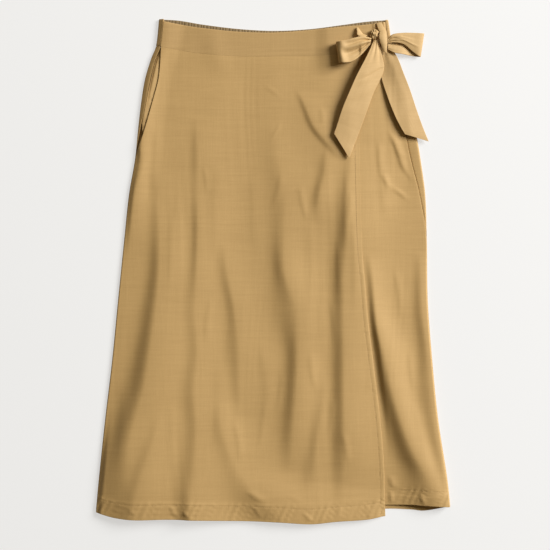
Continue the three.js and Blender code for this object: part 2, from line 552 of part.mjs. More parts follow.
function frontPanel(sign, hemLine, farEdge, level, spreadSteps) {
  return evenly(DOWN_STEPS).map((v) => {
    const dropAt = (x) => mix(waist('seam', x) + SEAM, hem(hemLine, x), v);
    const edgeDrop = dropAtEdge(dropAt, (drop) => sideX(sign, drop));
    const start = Math.max(0, arcAt(frontInset(sign, edgeDrop), SIDE_ROLL, PLY)) + SIDE_SEAM / 2;
    const spotAt = (step) => roundSide(edgeDrop, sign, start + step, SIDE_ROLL, PLY);
    const near = CLOSE_STEPS.map((step) => {
      const spot = spotAt(step);
      return place(spot.x, dropAt(spot.x), level(spot.x, dropAt(spot.x)) - spot.dip);
    });
    const from = spotAt(CLOSE_STEPS.at(-1)).x;
    const to = farEdge(dropAtEdge(dropAt, farEdge));
    const far = evenly(spreadSteps).slice(1).map((u) => {
      const x = mix(from, to, u);
      return place(x, dropAt(x), level(x, dropAt(x)));
    });
    const row = [...near, ...far];
    return sign < 0 ? row : row.reverse();
  });
}

function overlapPanel() {
  const rows = frontPanel(-1, 'overlap', freeEdge, overlapLevel, 46);
  add('front_overlap', wall(rows, PLY / 2, PLY / 2), PANEL_TAN);
}

function underlayPanel() {
  const rows = frontPanel(1, 'underlay', () => UNDERLAY_HIDDEN_EDGE, underlayLevel, 25);
  add('front_underlay', wall(rows, PLY / 2, PLY / 2), PANEL_TAN);
}

// Pocket facing and bag: the left one shows in its opening, both lie inside the skirt
function pocket(name, sign) {
  const acrossPlaces = [0, 0.06, 0.15, 0.3, 0.6, 1];
  const rows = evenly(9).map((v) => {
    const outerDrop = mix(BAG_TOP, BAG_LOW - BAG_SLANT, v);
    const innerDrop = mix(BAG_TOP, BAG_LOW, v);
    const outer = sideX(sign, outerDrop) - sign * (bagInset(sign, outerDrop) + SEAM);
    const inner = sign * (BAG_INNER + BAG_ROUND * v ** 6);
    const row = acrossPlaces.map((u) => {
      const x = mix(outer, inner, u);
      const drop = mix(outerDrop, innerDrop, Math.sin(u * Math.PI / 2));
      return place(x, drop, bagLevel(sign, x, drop));
    });
    return sign < 0 ? row : row.reverse();
  });
  add(name, wall(rows, PLY / 2, PLY / 2), FACING_TAN);
}

// The back band is gathered by its elastic: upright ribs on the inner face, along the top
function backBand() {
  const ribs = 72;
  const ribDepth = 0.8;
  const depths = [0, 0.25, 1];
  const roundSteps = 5;
  const quarter = rollLength(BAND_ROLL);
  const rows = depths.map((v) => {
    const dropAt = (x) => mix(waist('back', x), waist('seam', x), v);
    const sideDrop = (sign) => dropAtEdge(dropAt, (drop) => sideX(sign, drop));
    const turn = (sign) => {
      const drop = sideDrop(sign);
      const lip = arcAt(frontInset(sign, drop), BAND_ROLL, BACK_BAND_PLY);
      return evenly(roundSteps).map((u) => {
        const spot = roundSide(drop, sign, mix(-quarter, lip - SEAM / 2, u), BAND_ROLL, BACK_BAND_PLY);
        return place(spot.x, drop, BACK_BAND_LEVEL + 2 * BAND_ROLL - spot.dip);
      });
    };
    const start = sideX(-1, sideDrop(-1)) + BACK_BAND_PLY / 2 + BAND_ROLL;
    const stop = sideX(1, sideDrop(1)) - BACK_BAND_PLY / 2 - BAND_ROLL;
    const flat = evenly(2 * ribs + 1).slice(1, -1).map((u) => {
      const x = mix(start, stop, u);
      return place(x, dropAt(x), BACK_BAND_LEVEL);
    });
    return [...turn(-1).reverse(), ...flat, ...turn(1)];
  });
  const lastFlat = rows[0].length - roundSteps - 1;
  const grooved = (i, j) => i === 0 && j > roundSteps && j < lastFlat && j % 2 === 1;
  const inner = (i, j) => BACK_BAND_PLY / 2 - (grooved(i, j) ? ribDepth : 0);
  add('back_waistband', wall(rows, inner, BACK_BAND_PLY / 2), INSIDE_OLIVE);
}

function overlapBand() {
  const rows = evenly(4).map((v) => {
    const dropAt = (x) => mix(waist('front', x), waist('seam', x), v);
    const bandSide = (drop) => sideX(-1, drop) + frontInset(-1, drop) + SEAM;
    const from = bandSide(dropAtEdge(dropAt, bandSide));
    return evenly(30).map((u) => {
      const x = mix(from, FREE_EDGE[0].x, u);
      return place(x, dropAt(x), bandLevel(x));
    });
  });
  add('front_waistband', wall(rows, FRONT_BAND_PLY / 2, FRONT_BAND_PLY / 2), BAND_TAN);
}

// The short band at the right is drawn up by its tie and creases near the side seam
function underlayBand() {
  const creases = [{ x: 183, rise: 1.2, wide: 2.2 }, { x: 191, rise: 1.6, wide: 2 }];
  const slant = 4;
  const rows = evenly(5).map((v) => {
    const dropAt = (x) => mix(waist('front', x), waist('seam', x), v);
    const bandSide = (drop) => sideX(1, drop) - frontInset(1, drop) - SEAM;
    const to = bandSide(dropAtEdge(dropAt, bandSide));
    return evenly(22).map((u) => {
      const x = mix(UNDERLAY_BAND_END, to, u);
      const lift = creases.reduce((sum, crease) => {
        const away = x - crease.x - slant * v;
        return sum + crease.rise * Math.exp(-0.5 * (away / crease.wide) ** 2);
      }, 0);
      return place(x, dropAt(x), FRONT_BAND_LEVEL + lift * smooth(0, 0.4, 1 - v));
    });
  });
  add('side_waistband', wall(rows, FRONT_BAND_PLY / 2, FRONT_BAND_PLY / 2), BAND_TAN);
}

// A stretch of tie through its rows, with pleats where it is drawn together
function tie(name, sections, options = {}) {
  const { along = 16, across = 6, ground = false, pleats = 0, pleatRise = 0 } = options;
  const places = sections.map((_, k) => k);
  const value = (column, at) => through(sections.map((row) => row[column]), places, at);
  const rows = evenly(along).map((s) => {
    const at = s * (sections.length - 1);
    return evenly(across).map((u) => {
      const x = mix(value('ax', at), value('bx', at), u);
      const drop = mix(value('ad', at), value('bd', at), u);
      const bulge = value('belly', at) * Math.sin(Math.PI * u);
      const pleat = pleatRise * Math.sin(2 * Math.PI * pleats * u) * (1 - smooth(0, 0.3, s));
      const base = ground ? clothLevel(x, drop) + PLY / 2 + TIE_PLY / 2 : 0;
      return place(x, drop, base + mix(value('az', at), value('bz', at), u) + bulge + pleat);
    });
  });
  add(name, wall(rows, TIE_PLY / 2, TIE_PLY / 2), TIE_TAN);
}

// The knot is a crumpled lump with pleats running over it
function knot() {
  const geometry = new THREE.SphereGeometry(0.5, 20, 12);
  const spot = geometry.attributes.position;
  for (let k = 0; k < spot.count; k++) {
    const point = new THREE.Vector3().fromBufferAttribute(spot, k);
    const swell = 1 + 0.07 * Math.sin(KNOT.pleats * 2 * Math.PI * (point.x + 0.4 * point.y));
    point.multiplyScalar(swell);
    const world = place(KNOT.x + point.x * KNOT.across, KNOT.drop - point.y * KNOT.along,
      KNOT.height + point.z * KNOT.tall);
    spot.setXYZ(k, world.x, world.y, world.z);
  }
  geometry.computeVertexNormals();
  add('knot', geometry, TIE_TAN);
}

backPanel();
underlayPanel();
overlapPanel();
pocket('left_pocket', -1);
pocket('right_pocket', 1);
backBand();
underlayBand();
overlapBand();
tie('right_tail', RIGHT_TAIL, { ground: true, along: 14 });
tie('left_tail', LEFT_TAIL, { ground: true, along: 14 });
tie('left_loop', LEFT_LOOP, { along: 23, across: 6, pleats: 2, pleatRise: 0.6 });
tie('right_loop', RIGHT_LOOP, { along: 26, across: 6, pleats: 1, pleatRise: 0.5 });
tie('tie_ear', LEFT_TIE_EAR, { along: 8, across: 4 });
tie('tie_root', TIE_ROOT, { along: 7, across: 4 });
tie('knot_band', KNOT_BAND, { along: 10, across: 5 });
knot();

export default skirt;
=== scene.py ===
import math

import bpy
import numpy as np
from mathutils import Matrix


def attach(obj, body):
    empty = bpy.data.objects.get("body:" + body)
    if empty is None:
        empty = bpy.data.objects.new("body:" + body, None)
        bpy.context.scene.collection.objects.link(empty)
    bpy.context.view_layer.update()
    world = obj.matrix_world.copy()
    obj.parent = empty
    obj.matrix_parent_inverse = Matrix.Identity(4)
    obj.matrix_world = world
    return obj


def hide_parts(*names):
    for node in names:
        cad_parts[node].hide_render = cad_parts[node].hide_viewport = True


# Wrap-front midi skirt with a side bow, laid flat. Tables are in millimetres:
# x from the middle of the skirt, drop down from the top of the waist, height above the floor.

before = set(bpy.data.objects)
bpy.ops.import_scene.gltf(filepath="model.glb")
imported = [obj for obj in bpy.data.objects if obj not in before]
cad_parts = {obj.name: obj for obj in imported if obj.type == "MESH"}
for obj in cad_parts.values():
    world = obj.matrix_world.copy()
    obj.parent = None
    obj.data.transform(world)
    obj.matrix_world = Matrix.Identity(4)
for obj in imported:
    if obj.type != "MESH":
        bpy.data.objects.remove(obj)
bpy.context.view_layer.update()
MM = 0.001

# Driving sizes
LENGTH = 859.4
MIDDLE_X = 0.375
PLY = 1.0
SEAM = 0.3
SIDE_SEAM = 0.4
REST_GAP = 0.4
HEM_DEPTH = 27
HEM_STITCH_IN = 2
HEM_PLY = 0.5
BACK_BAND_PLY = 2.4
FRONT_BAND_PLY = 1.8
TIE_PLY = 1.3
SIDE_ROLL = 1.6
BAND_ROLL = 1.35


def rows_of(columns, *rows):
    """A table with named columns, each kept as one array."""
    return {name: np.array([row[k] for row in rows], float) for k, name in enumerate(columns.split())}


# Side edges of the laid skirt, and how far in from them each seam lies
SIDES = rows_of(
    "drop left right frontLeft lipLeft bagLeft frontRight",
    (0, -193, 195.5, 8.5, 8.5, 9, 5),
    (48, -198.4, 203.5, 8.5, 8.5, 9, 6),
    (70, -207, 211, 16, 8.5, 9, 9),
    (105, -217.3, 222, 22.6, 9.7, 10.2, 13),
    (145, -223.8, 232.5, 18.7, 8.2, 8.7, 16),
    (190, -229, 242.5, 11.2, 3.7, 7.5, 18.5),
    (240, -234, 251, 0, 0, 29, 17),
    (300, -244.3, 259, 0, 0, 26, 10),
    (376, -252.3, 261.6, 0, 0, 26, 0),
    (478, -262.7, 263.2, 0, 0, 26, 0),
    (580, -272.7, 270.8, 0, 0, 26, 0),
    (682, -284.8, 281, 0, 0, 26, 0),
    (785, -295.7, 296.8, 0, 0, 26, 0),
    (850, -301.6, 303, 0, 0, 26, 0),
)

# Waist lines: top of the back band, top of the front band, lower seam of both
WAIST = rows_of(
    "x back front seam",
    (-200, 2.2, 3.2, 47.8),
    (-160, 4.4, 11, 54.5),
    (-120, 11, 17.4, 60.8),
    (-60, 18.4, 23.4, 65),
    (0, 21.8, 25, 65.3),
    (60, 19.1, 21.2, 65),
    (120, 11.6, 15.2, 62.5),
    (160, 6.2, 11.4, 57),
    (204, 3, 4.8, 46.5),
)

# Hem lines of the overlap, the underlay and the back
HEMS = rows_of(
    "x overlap underlay back",
    (-303, 838.5, 838, 834),
    (-270, 847.3, 838, 841),
    (-235, 850.8, 838, 844.5),
    (-180, 850.3, 838, 845),
    (-65, 853.2, 837, 847),
    (8, 855.3, 834, 848),
    (65, 858.4, 831, 847),
    (107, 854.6, 829, 844),
    (161, 851, 827, 838),
    (191, 845.5, 826.7, 833.6),
    (236, 845, 826.2, 834.9),
    (257, 845, 827.2, 836.9),
    (303, 845, 829.5, 829),
)

# Free edge of the overlap, from the waist seam to the hem
FREE_EDGE = rows_of(
    "drop x",
    (36, 144.5),
    (274, 148),
    (394, 151.3),
    (451, 156.4),
    (512, 161.5),
    (580, 170),
    (679, 182),
    (759, 188.7),
    (850, 191),
)
UNDERLAY_HIDDEN_EDGE = 22
UNDERLAY_BAND_END = 106
BAND_STEP_END = 96


# Folds: a crest that runs down the cloth, its rise, and its spread on the left and the right
def fold(*rows):
    """A long fold: where its crest runs, how high it is, and how far its left and right flanks spread."""
    return rows_of("drop x rise steep gentle", *rows)


OVERLAP_FOLDS = [
    fold(  # long slant at the left
        (255, -193, 0, 8, 30),
        (292, -195, 1.3, 8, 40),
        (360, -192, 2.8, 9, 45),
        (428, -192, 6, 10, 50),
        (496, -198.5, 7.6, 12, 55),
        (564, -207, 10, 14, 60),
        (632, -218, 12, 17, 65),
        (700, -237, 13.6, 20, 80),
        (740, -244, 14, 25, 90),
        (775, -243, 14, 32, 95),
        (810, -236, 14, 38, 95),
        (850, -228, 13, 42, 95),
    ),
    fold(  # lower slope at the left
        (665, -188, 0, 8, 26),
        (709, -198, 1.4, 8, 26),
        (773, -220, 2.8, 10, 28),
        (800, -228, 2.6, 10, 28),
        (850, -240, 1.4, 10, 28),
    ),
    fold(  # upright at the left
        (165, -127, 0, 6, 26),
        (224, -127, 1.7, 6, 28),
        (291, -128, 1.2, 6, 28),
        (360, -126, 3.2, 6.5, 28),
        (428, -128, 3, 7, 28),
        (496, -131, 2, 9, 32),
        (564, -126, 3, 10, 40),
        (632, -132, 4, 11, 48),
        (700, -127, 4.8, 13, 52),
        (768, -132, 5.6, 14, 55),
        (810, -138, 6.4, 13, 55),
        (850, -139, 8, 11, 55),
    ),
    fold(  # short one left of the middle
        (380, -80, 0, 8, 26),
        (428, -77, 2.2, 8, 28),
        (496, -64, 3.3, 8, 28),
        (564, -57, 3.8, 11, 30),
        (632, -55, 2, 9, 30),
        (680, -50, 0, 9, 30),
    ),
    fold(  # slant down to the hem left of the middle
        (650, -90, 0, 8, 30),
        (700, -84, 2, 9, 32),
        (733, -74, 2.4, 11, 36),
        (768, -58, 3, 16, 44),
        (810, -24, 7, 28, 90),
        (850, 20, 8, 36, 130),
    ),
    fold(  # upright at the middle
        (165, 6, 0, 14, 34),
        (224, 8, 1.2, 14, 34),
        (291, 22, 3.2, 16, 36),
        (360, 21, 4, 14, 34),
        (428, 20, 6, 11, 32),
        (496, 41, 6.8, 20, 34),
        (564, 43, 6.7, 11.5, 32),
        (632, 40, 7.2, 11.5, 32),
        (700, 35, 5.3, 11.5, 32),
        (768, 31, 0.8, 10, 28),
        (790, 31, 0, 10, 28),
    ),
    fold(  # curve below the bow
        (122, 43, 0, 4, 22),
        (147, 54, 1.7, 4, 22),
        (179, 67, 2.3, 4.5, 20),
        (195, 77, 2.3, 4.5, 18),
        (210, 90, 2, 5, 18),
        (226, 106, 1.4, 6, 18),
        (242, 118, 0, 7, 18),
    ),
    fold(  # short one at the right hip
        (218, 95, 0, 6, 16),
        (240, 91, 1.6, 6, 18),
        (265, 88, 2.6, 6, 18),
        (301, 80, 3.2, 7, 18),
        (325, 77, 1.5, 7, 18),
        (350, 75, 0, 7, 18),
    ),
    fold(  # low one right of the middle
        (600, 90, 0, 8, 20),
        (632, 89, 1.2, 8, 20),
        (700, 80, 2.8, 8, 20),
        (768, 70, 2.4, 10, 20),
        (815, 64, 0, 10, 20),
    ),
]
UNDERLAY_FOLDS = [
    fold(  # long slant beside the free edge
        (400, 152, 0, 7, 18),
        (428, 156, 2, 7, 18),
        (496, 165, 5, 8, 20),
        (564, 187.5, 8, 11.5, 24),
        (632, 202, 10, 12, 25),
        (700, 223, 11, 14, 26),
        (736, 238, 11, 16, 26),
        (768, 256, 11, 19, 26),
        (810, 276, 11.4, 30, 30),
        (845, 288, 11, 34, 30),
    ),
    fold(  # upright at the side
        (395, 250, 0, 6, 11),
        (428, 251, 1.4, 6, 11),
        (496, 253, 3, 7, 12),
        (564, 262, 4.2, 9, 14),
        (632, 268, 5.4, 13, 16),
        (700, 277, 5, 10, 14),
        (768, 291, 2.6, 7, 10),
        (800, 296, 0, 6, 8),
    ),
]
# Both fronts rise together where they lie double
SHARED_SWELL = [
    fold(  # broad swell below the bow
        (80, 135, 0, 60, 42),
        (160, 138, 3, 60, 42),
        (300, 142, 3.2, 55, 42),
        (450, 150, 2.6, 50, 40),
        (560, 156, 1.2, 50, 36),
        (640, 160, 0, 50, 30),
    ),
    fold(  # upright near the free edge
        (215, 134, 0, 8, 30),
        (291, 131, 3.6, 11, 42),
        (360, 128, 6, 10.5, 44),
        (428, 122, 6.6, 11, 44),
        (496, 120, 7, 11, 42),
        (564, 121, 7, 11, 40),
        (632, 121, 8, 11, 40),
        (700, 122, 8.4, 12, 38),
        (745, 122, 5.8, 12, 36),
        (785, 121, 2.6, 11, 34),
        (825, 120, 0.6, 10, 30),
        (850, 120, 0, 10, 30),
    ),
]


def through(values, places, at):
    """Curve through the rows of a table."""
    at = np.clip(np.asarray(at, float), places[0], places[-1])
    last = len(places) - 1
    i = np.clip(np.searchsorted(places, at, side="right") - 1, 0, last - 1)
    low = np.maximum(np.arange(last + 1) - 1, 0)
    high = np.minimum(np.arange(last + 1) + 1, last)
    slope = (values[high] - values[low]) / (places[high] - places[low])
    span = places[i + 1] - places[i]
    t = (at - places[i]) / span
    t2 = t * t
    t3 = t2 * t
    return ((2 * t3 - 3 * t2 + 1) * values[i] + (t3 - 2 * t2 + t) * slope[i] * span
            + (3 * t2 - 2 * t3) * values[i + 1] + (t3 - t2) * slope[i + 1] * span)


def side(column, drop):
    return through(SIDES[column], SIDES["drop"], drop)


def inset(column, drop):
    return np.maximum(0, side(column, drop))


def waist(column, x):
    return through(WAIST[column], WAIST["x"], x)


def hem(column, x):
    return through(HEMS[column], HEMS["x"], x)


def free_edge(drop):
    return through(FREE_EDGE["x"], FREE_EDGE["drop"], drop)


def smooth(low, high, at):
    t = np.clip((at - low) / (high - low), 0, 1)
    return t * t * (3 - 2 * t)


def mix(a, b, share):
    return a + (b - a) * share


# The sides are told apart by a sign: -1 is the left one, 1 the right one
def side_x(sign, drop):
    return side("left" if sign < 0 else "right", drop)


def front_inset(sign, drop):
    return inset("frontLeft" if sign < 0 else "frontRight", drop)


def lip_inset(sign, drop):
    return inset("lipLeft" if sign < 0 else "frontRight", drop)


def drop_at_edge(drop_at, edge):
    drop = drop_at(0.0)
    for _ in range(4):
        drop = drop_at(edge(drop))
    return drop


def bell(away, spread):
    return np.exp(-0.5 * (away / spread) ** 2)


# A fold that reaches the hem runs on over its edge
FOLD_RUN_OUT = 9


def fold_height(folds, x, drop):
    """Folds have a short steep flank on the left of the crest and a long gentle one on the right."""
    height = np.zeros(np.broadcast(x, drop).shape)
    for rows in folds:
        places = rows["drop"]
        columns = ("x", "rise", "steep", "gentle")
        crest, rise, steep, gentle = (through(rows[name], places, drop) for name in columns)
        along = (drop >= places[0]) & (drop <= places[-1] + FOLD_RUN_OUT)
        away = x - crest
        height = height + np.maximum(0, rise) * along * bell(away, np.where(away < 0, steep, gentle))
    return height


# Small creases: two ends, a sideways bow, half width, and rise, below 0 for a trough
CREASES = rows_of(
    "x0 drop0 x1 drop1 bow wide rise",
    (-196, 170, -204, 330, 3, 5, 0.6),
    (-160, 300, -172, 470, -4, 6, 0.7),
    (-100, 230, -98, 420, 4, 7, 0.6),
    (-88, 560, -96, 760, 4, 7, 0.7),
    (-30, 250, -22, 420, -4, 7, 0.6),
    (-20, 540, -8, 700, 4, 6, 0.7),
    (60, 330, 66, 520, 4, 7, 0.7),
    (92, 420, 88, 600, -4, 6, 0.6),
    (-250, 610, -262, 780, 3, 6, 0.7),
    (-170, 640, -176, 790, 3, 6, 0.5),
    (136, 330, 138, 520, 2, 3, 0.5),
    (197, 190, 224, 268, 3, 3, 1.75),
    (180, 205, 183, 274, -1, 2.4, 0.75),
    (183, 262, 205, 296, -2, 2.4, 0.6),
    (204, 226, 231, 238, 0, 4, 0.45),
    (214, 240, 239, 280, -1, 2.4, 0.6),
    (201, 288, 229, 309, 1, 2, 1.1),
    (190, 262, 194, 300, 0, 2, 0.5),
    (124, 250, 122, 390, 0, 2.2, 0.6),
    (132, 290, 129, 350, 0, 1.6, 0.4),
    (110, 370, 113, 480, 0, 2.4, 0.6),
    (196, 776, 204, 800, 0, 2.6, 1.2),
    (118, 700, 126, 760, 2, 2.2, 0.7),
    (186, 230, 196, 360, -3, 5, 0.6),
    (238, 650, 262, 770, 3, 5, 0.6),
    (14, 176, -6, 212, 0, 1.4, 0.4),
    (82, 150, 84, 188, 1, 2.4, 0.5),
    (-16, 112, 16, 138, 0, 2, 0.35),
    (14, 262, -4, 330, 3, 2.6, 0.5),
    (46, 280, 60, 350, -3, 2.6, 0.6),
    (-118, 250, -112, 300, 2, 2.2, 0.4),
    (96, 470, 104, 560, 3, 2.6, 0.5),
    (64, 560, 74, 640, -3, 2.6, 0.6),
    (16, 590, 4, 680, 3, 2.6, 0.5),
    (-14, 640, -26, 740, 3, 2.8, 0.5),
    (100, 640, 92, 720, 3, 2.6, 0.5),
    (-104, 470, -112, 560, -3, 2.8, 0.5),
    (-66, 680, -56, 760, 3, 2.6, 0.5),
    (206, 420, 216, 520, 3, 2.6, 0.6),
    (232, 560, 240, 640, -2, 2.6, 0.5),
    (-246, 827, -234, 845, 0, 1.8, 0.5),
    (-174, 826, -164, 848, 0, 1.4, 1.2),
    (-153, 833, -141, 850, 0, 1.3, 1.2),
    (-44, 801, -17, 823, 0, 4, 1.1),
    (-33, 827, -19, 850, 0, 1.8, 0.7),
    (26, 812, 50, 822, 0, 2.6, 0.5),
    (51, 838, 66, 856, 0, 1.8, 0.9),
    (113, 825, 110, 854, 0, 1.8, 0.7),
    (160, 825, 161, 849, 0, 1.6, 0.5),
    (199, 801, 200, 826, 0, 1.3, 1.5),
    (250, 806, 256, 828, 0, 1.3, 1.3),
)
STITCH_PITCH = 3.2
EDGE_STITCH = 7.5

# The free edge lies close above the open part of the slit, which begins between these two drops
SLIT_FROM = 360
SLIT_TO = 440
EDGE_CLOSE_WIDE = 20


def crease_height(x, drop):
    height = np.zeros(np.broadcast(x, drop).shape)
    for x0, drop0, x1, drop1, bow, wide, rise in zip(*CREASES.values()):
        share = np.clip((drop - drop0) / (drop1 - drop0), 0, 1)
        fade = smooth(0, 0.3, share) * (1 - smooth(0.6, 1, share))
        away = x - mix(x0, x1, share) - bow * np.sin(math.pi * share)
        height = height + rise * fade * bell(away, np.where(away < 0, wide, 2.2 * wide))
    return height


def wander(at, pitch, seed):
    """An uneven ripple from -1 to 1 that never repeats evenly."""
    turn = 2 * math.pi / pitch
    slow = 1.9 * np.sin(turn * at / 5.3 + seed) + 1.1 * np.sin(turn * at / 2.7 + 2.3 * seed)
    strength = 0.55 + 0.45 * np.sin(turn * at / 7.9 + 1.7 * seed)
    return strength * np.sin(turn * at + slow)


RUMPLE_UPRIGHT = 0.075
RUMPLE_LEVEL = 0.07


def rumple(x, drop):
    """Faint fine wrinkles, mostly upright, that come and go over the cloth."""
    upright = wander(x + 7 * np.sin(drop / 85), 15, 2.2) * (0.5 + 0.5 * np.sin(drop / 63 + x / 37))
    level = wander(drop + 5 * np.sin(x / 40), 19, 4.1) * (0.5 + 0.5 * np.sin(drop / 51 - x / 45 + 1))
    return RUMPLE_UPRIGHT * upright + RUMPLE_LEVEL * level


PUCKER_RISE = 0.46
FINE_PUCKER_RISE = 0.17
STITCH_DIP = 0.2


def pucker(line, x, drop):
    """The hem draws in along its stitching, in short slanted ripples."""
    above = hem(line, x) - drop
    zone = smooth(-1, 5, above) * (1 - smooth(HEM_DEPTH - 3, HEM_DEPTH + 9, above))
    stitched = bell(above - HEM_DEPTH + HEM_STITCH_IN, 0.8)
    slant = x - 0.45 * above
    broad = PUCKER_RISE * zone * wander(slant, 9.5, 0.7)
    return broad + FINE_PUCKER_RISE * zone * wander(slant, 4.1, 2.1) - STITCH_DIP * stitched


def edge_close(x, drop):
    """Above the open part of the slit the free edge lies so close that it hardly shows."""
    away = free_edge(drop) - x
    closed = smooth(90, 120, drop) * (1 - smooth(SLIT_FROM, SLIT_TO, drop))
    return closed * (1 - smooth(0, EDGE_CLOSE_WIDE, np.abs(away)))


def edge_pucker(x, drop):
    """Ripples across the turned free edge, and the dip along its stitching."""
    away = free_edge(drop) - x
    low = smooth(SLIT_FROM, SLIT_TO, drop)
    zone = smooth(-1, 2, away) * (1 - smooth(EDGE_STITCH - 1, EDGE_STITCH + 5, away))
    stitched = bell(away - EDGE_STITCH, 0.9)
    return low * (0.2 * zone * wander(drop + 0.5 * away, 6.2, 1.3) - 0.16 * stitched)


# Levels of the middle of each wall above the surface
BACK_LEVEL = PLY / 2
ROLL_TOP = BACK_LEVEL + 2 * SIDE_ROLL
FIRST_LEVEL = BACK_LEVEL + PLY + SEAM
BACK_BAND_LEVEL = BACK_BAND_PLY / 2
FRONT_BAND_LEVEL = BACK_BAND_PLY + SEAM + FRONT_BAND_PLY / 2
TOP_BAND_LEVEL = FRONT_BAND_LEVEL + FRONT_BAND_PLY + SEAM
HIDDEN_TOP_LEVEL = FRONT_BAND_LEVEL - PLY - SEAM
ROLL_SETTLE = 30
HANG_SETTLE = 45
EDGE_CALM = 11
HEM_STEP = 6
EDGE_LIFT = 0.4
EDGE_CLOSE_DIP = 0.7
LIP_RISE = 3.2
SEAM_FLUSH = (FRONT_BAND_PLY - PLY) / 2

# Below the hip the cloth falls away from its side folds more slowly
HIP_FROM = 260
HIP_TO = 420
HIP_SETTLE = 130


def roll_length(roll):
    return roll * math.pi / 2


def arc_at(inward, roll, ply):
    return inward - ply / 2 - roll + roll_length(roll)


def round_side(drop, sign, arc, roll, ply):
    """A point of a wall round the side fold: arc 0 is the outermost line, higher is up and inward."""
    edge = side_x(sign, drop) - sign * (ply / 2 + roll)
    quarter = roll_length(roll)
    turning = np.abs(arc) < quarter
    beyond = np.abs(arc) - quarter
    x = np.where(turning, edge + sign * roll * np.cos(arc / roll), edge - sign * beyond)
    dip = np.where(turning, roll * (1 - np.sin(arc / roll)), np.where(arc > 0, 0, 2 * roll))
    return x, dip


# A pocket bag lies between the back and the front panel on each side
BAG_TOP = 57
BAG_LOW = 322
BAG_SLANT = 40
BAG_INNER = 116
BAG_ROUND = 30
BAG_LIFT = 0.7
BAG_TUCK = 8


def bag_inset(sign, drop):
    return inset("bagLeft", drop) if sign < 0 else inset("frontRight", drop) + BAG_TUCK


def bag_lift(sign, arc, drop):
    start = bag_inset(sign, drop)
    inward = arc + PLY / 2 + SIDE_ROLL - roll_length(SIDE_ROLL)
    x = np.abs(side_x(sign, drop) - sign * inward)
    outer = smooth(start - 25, start - 15, inward)
    inner = smooth(BAG_INNER - 90, BAG_INNER - 14, x)
    lower = 1 - smooth(BAG_LOW + 16, BAG_LOW + 100, drop)
    return (PLY + REST_GAP) * outer * inner * lower


def side_arc(sign, x, drop):
    return arc_at(sign * (side_x(sign, drop) - x), SIDE_ROLL, PLY)


def roll_lift(arc, drop=0):
    """Cloth stands up from its side fold, and settles slowly in the lower part."""
    settle = ROLL_SETTLE + HIP_SETTLE * smooth(HIP_FROM, HIP_TO, drop)
    return (ROLL_TOP - FIRST_LEVEL) * (1 - smooth(4, settle, arc))


def side_lip(sign, arc, drop):
    """The upper left side is full: its cloth rises quickly from the outermost line and then settles."""
    rise = LIP_RISE if sign < 0 else 0
    return rise * smooth(0, 10, arc) * (1 - smooth(12, 48, arc)) * (1 - smooth(HIP_FROM, HIP_TO, drop))


def waist_swell(x, drop):
    """A soft dent at the left of the band, and its drawn-up right end beside the bow."""
    return 1.1 * bell(x + 112 - 0.25 * drop, 15) + 1.2 * bell(x - 96, 26)


def hang(x, drop):
    return 1 - smooth(0, HANG_SETTLE, drop - waist("seam", x))


def hem_step(line, x, drop):
    return smooth(0, HEM_STEP, drop - (hem(line, x) - HEM_DEPTH))


def underlay_top(x):
    share = smooth(UNDERLAY_BAND_END - 4, UNDERLAY_BAND_END + 4, x)
    return mix(HIDDEN_TOP_LEVEL, FRONT_BAND_LEVEL, share)


def band_level(x):
    return mix(FRONT_BAND_LEVEL, TOP_BAND_LEVEL, smooth(BAND_STEP_END - 26, BAND_STEP_END, x))


def underlay_level(x, drop):
    arc = side_arc(1, x, drop)
    calm = smooth(0, 3.4, arc)
    rest = FIRST_LEVEL + bag_lift(1, arc, drop) + HEM_PLY * hem_step("back", x, drop)
    clear = smooth(2, 14, x - free_edge(drop))
    small = crease_height(x, drop) + rumple(x, drop) + pucker("underlay", x, drop)
    folded = fold_height(UNDERLAY_FOLDS, x, drop) + small
    swell = fold_height(SHARED_SWELL, x, drop) * calm
    top = hang(x, drop)
    lift = roll_lift(arc, drop) * (1 - top)
    return mix(rest + swell, underlay_top(x) + SEAM_FLUSH, top) + lift + folded * calm * clear


def overlap_level(x, drop):
    arc = side_arc(-1, x, drop)
    near_edge = smooth(-14, 0, x - free_edge(drop))
    calm = smooth(0, EDGE_CALM, arc) * (1 - near_edge * 0.75)
    step = PLY + REST_GAP
    under = smooth(UNDERLAY_HIDDEN_EDGE - 80, UNDERLAY_HIDDEN_EDGE - 8, x)
    alone = FIRST_LEVEL + bag_lift(-1, arc, drop) + HEM_PLY * hem_step("back", x, drop)
    carried = (FIRST_LEVEL + bag_lift(1, side_arc(1, x, drop), drop)
               + HEM_PLY * (hem_step("back", x, drop) + hem_step("underlay", x, drop)) + step)
    rest = (mix(alone, carried, under) + fold_height(SHARED_SWELL, x, drop)
            + fold_height(OVERLAP_FOLDS, x, drop) * calm)
    small = (crease_height(x, drop) + rumple(x, drop)) * calm
    small = small + pucker("overlap", x, drop) + edge_pucker(x, drop)
    rest = rest + EDGE_LIFT * near_edge * smooth(320, 460, drop) - EDGE_CLOSE_DIP * edge_close(x, drop)
    top = hang(x, drop)
    seamed = band_level(x) + SEAM_FLUSH + waist_swell(x, drop)
    return mix(rest, seamed, top) + roll_lift(arc, drop) * (1 - top) + side_lip(-1, arc, drop) + small


def bag_level(sign, x, drop):
    arc = side_arc(sign, x, drop)
    seamed = hang(x, drop)
    top = FRONT_BAND_LEVEL if sign < 0 else underlay_top(x)
    lip = 0.85 * side_lip(sign, arc, drop)
    return mix(FIRST_LEVEL, top - PLY - REST_GAP, seamed) + BAG_LIFT * roll_lift(arc) * (1 - seamed) + lip


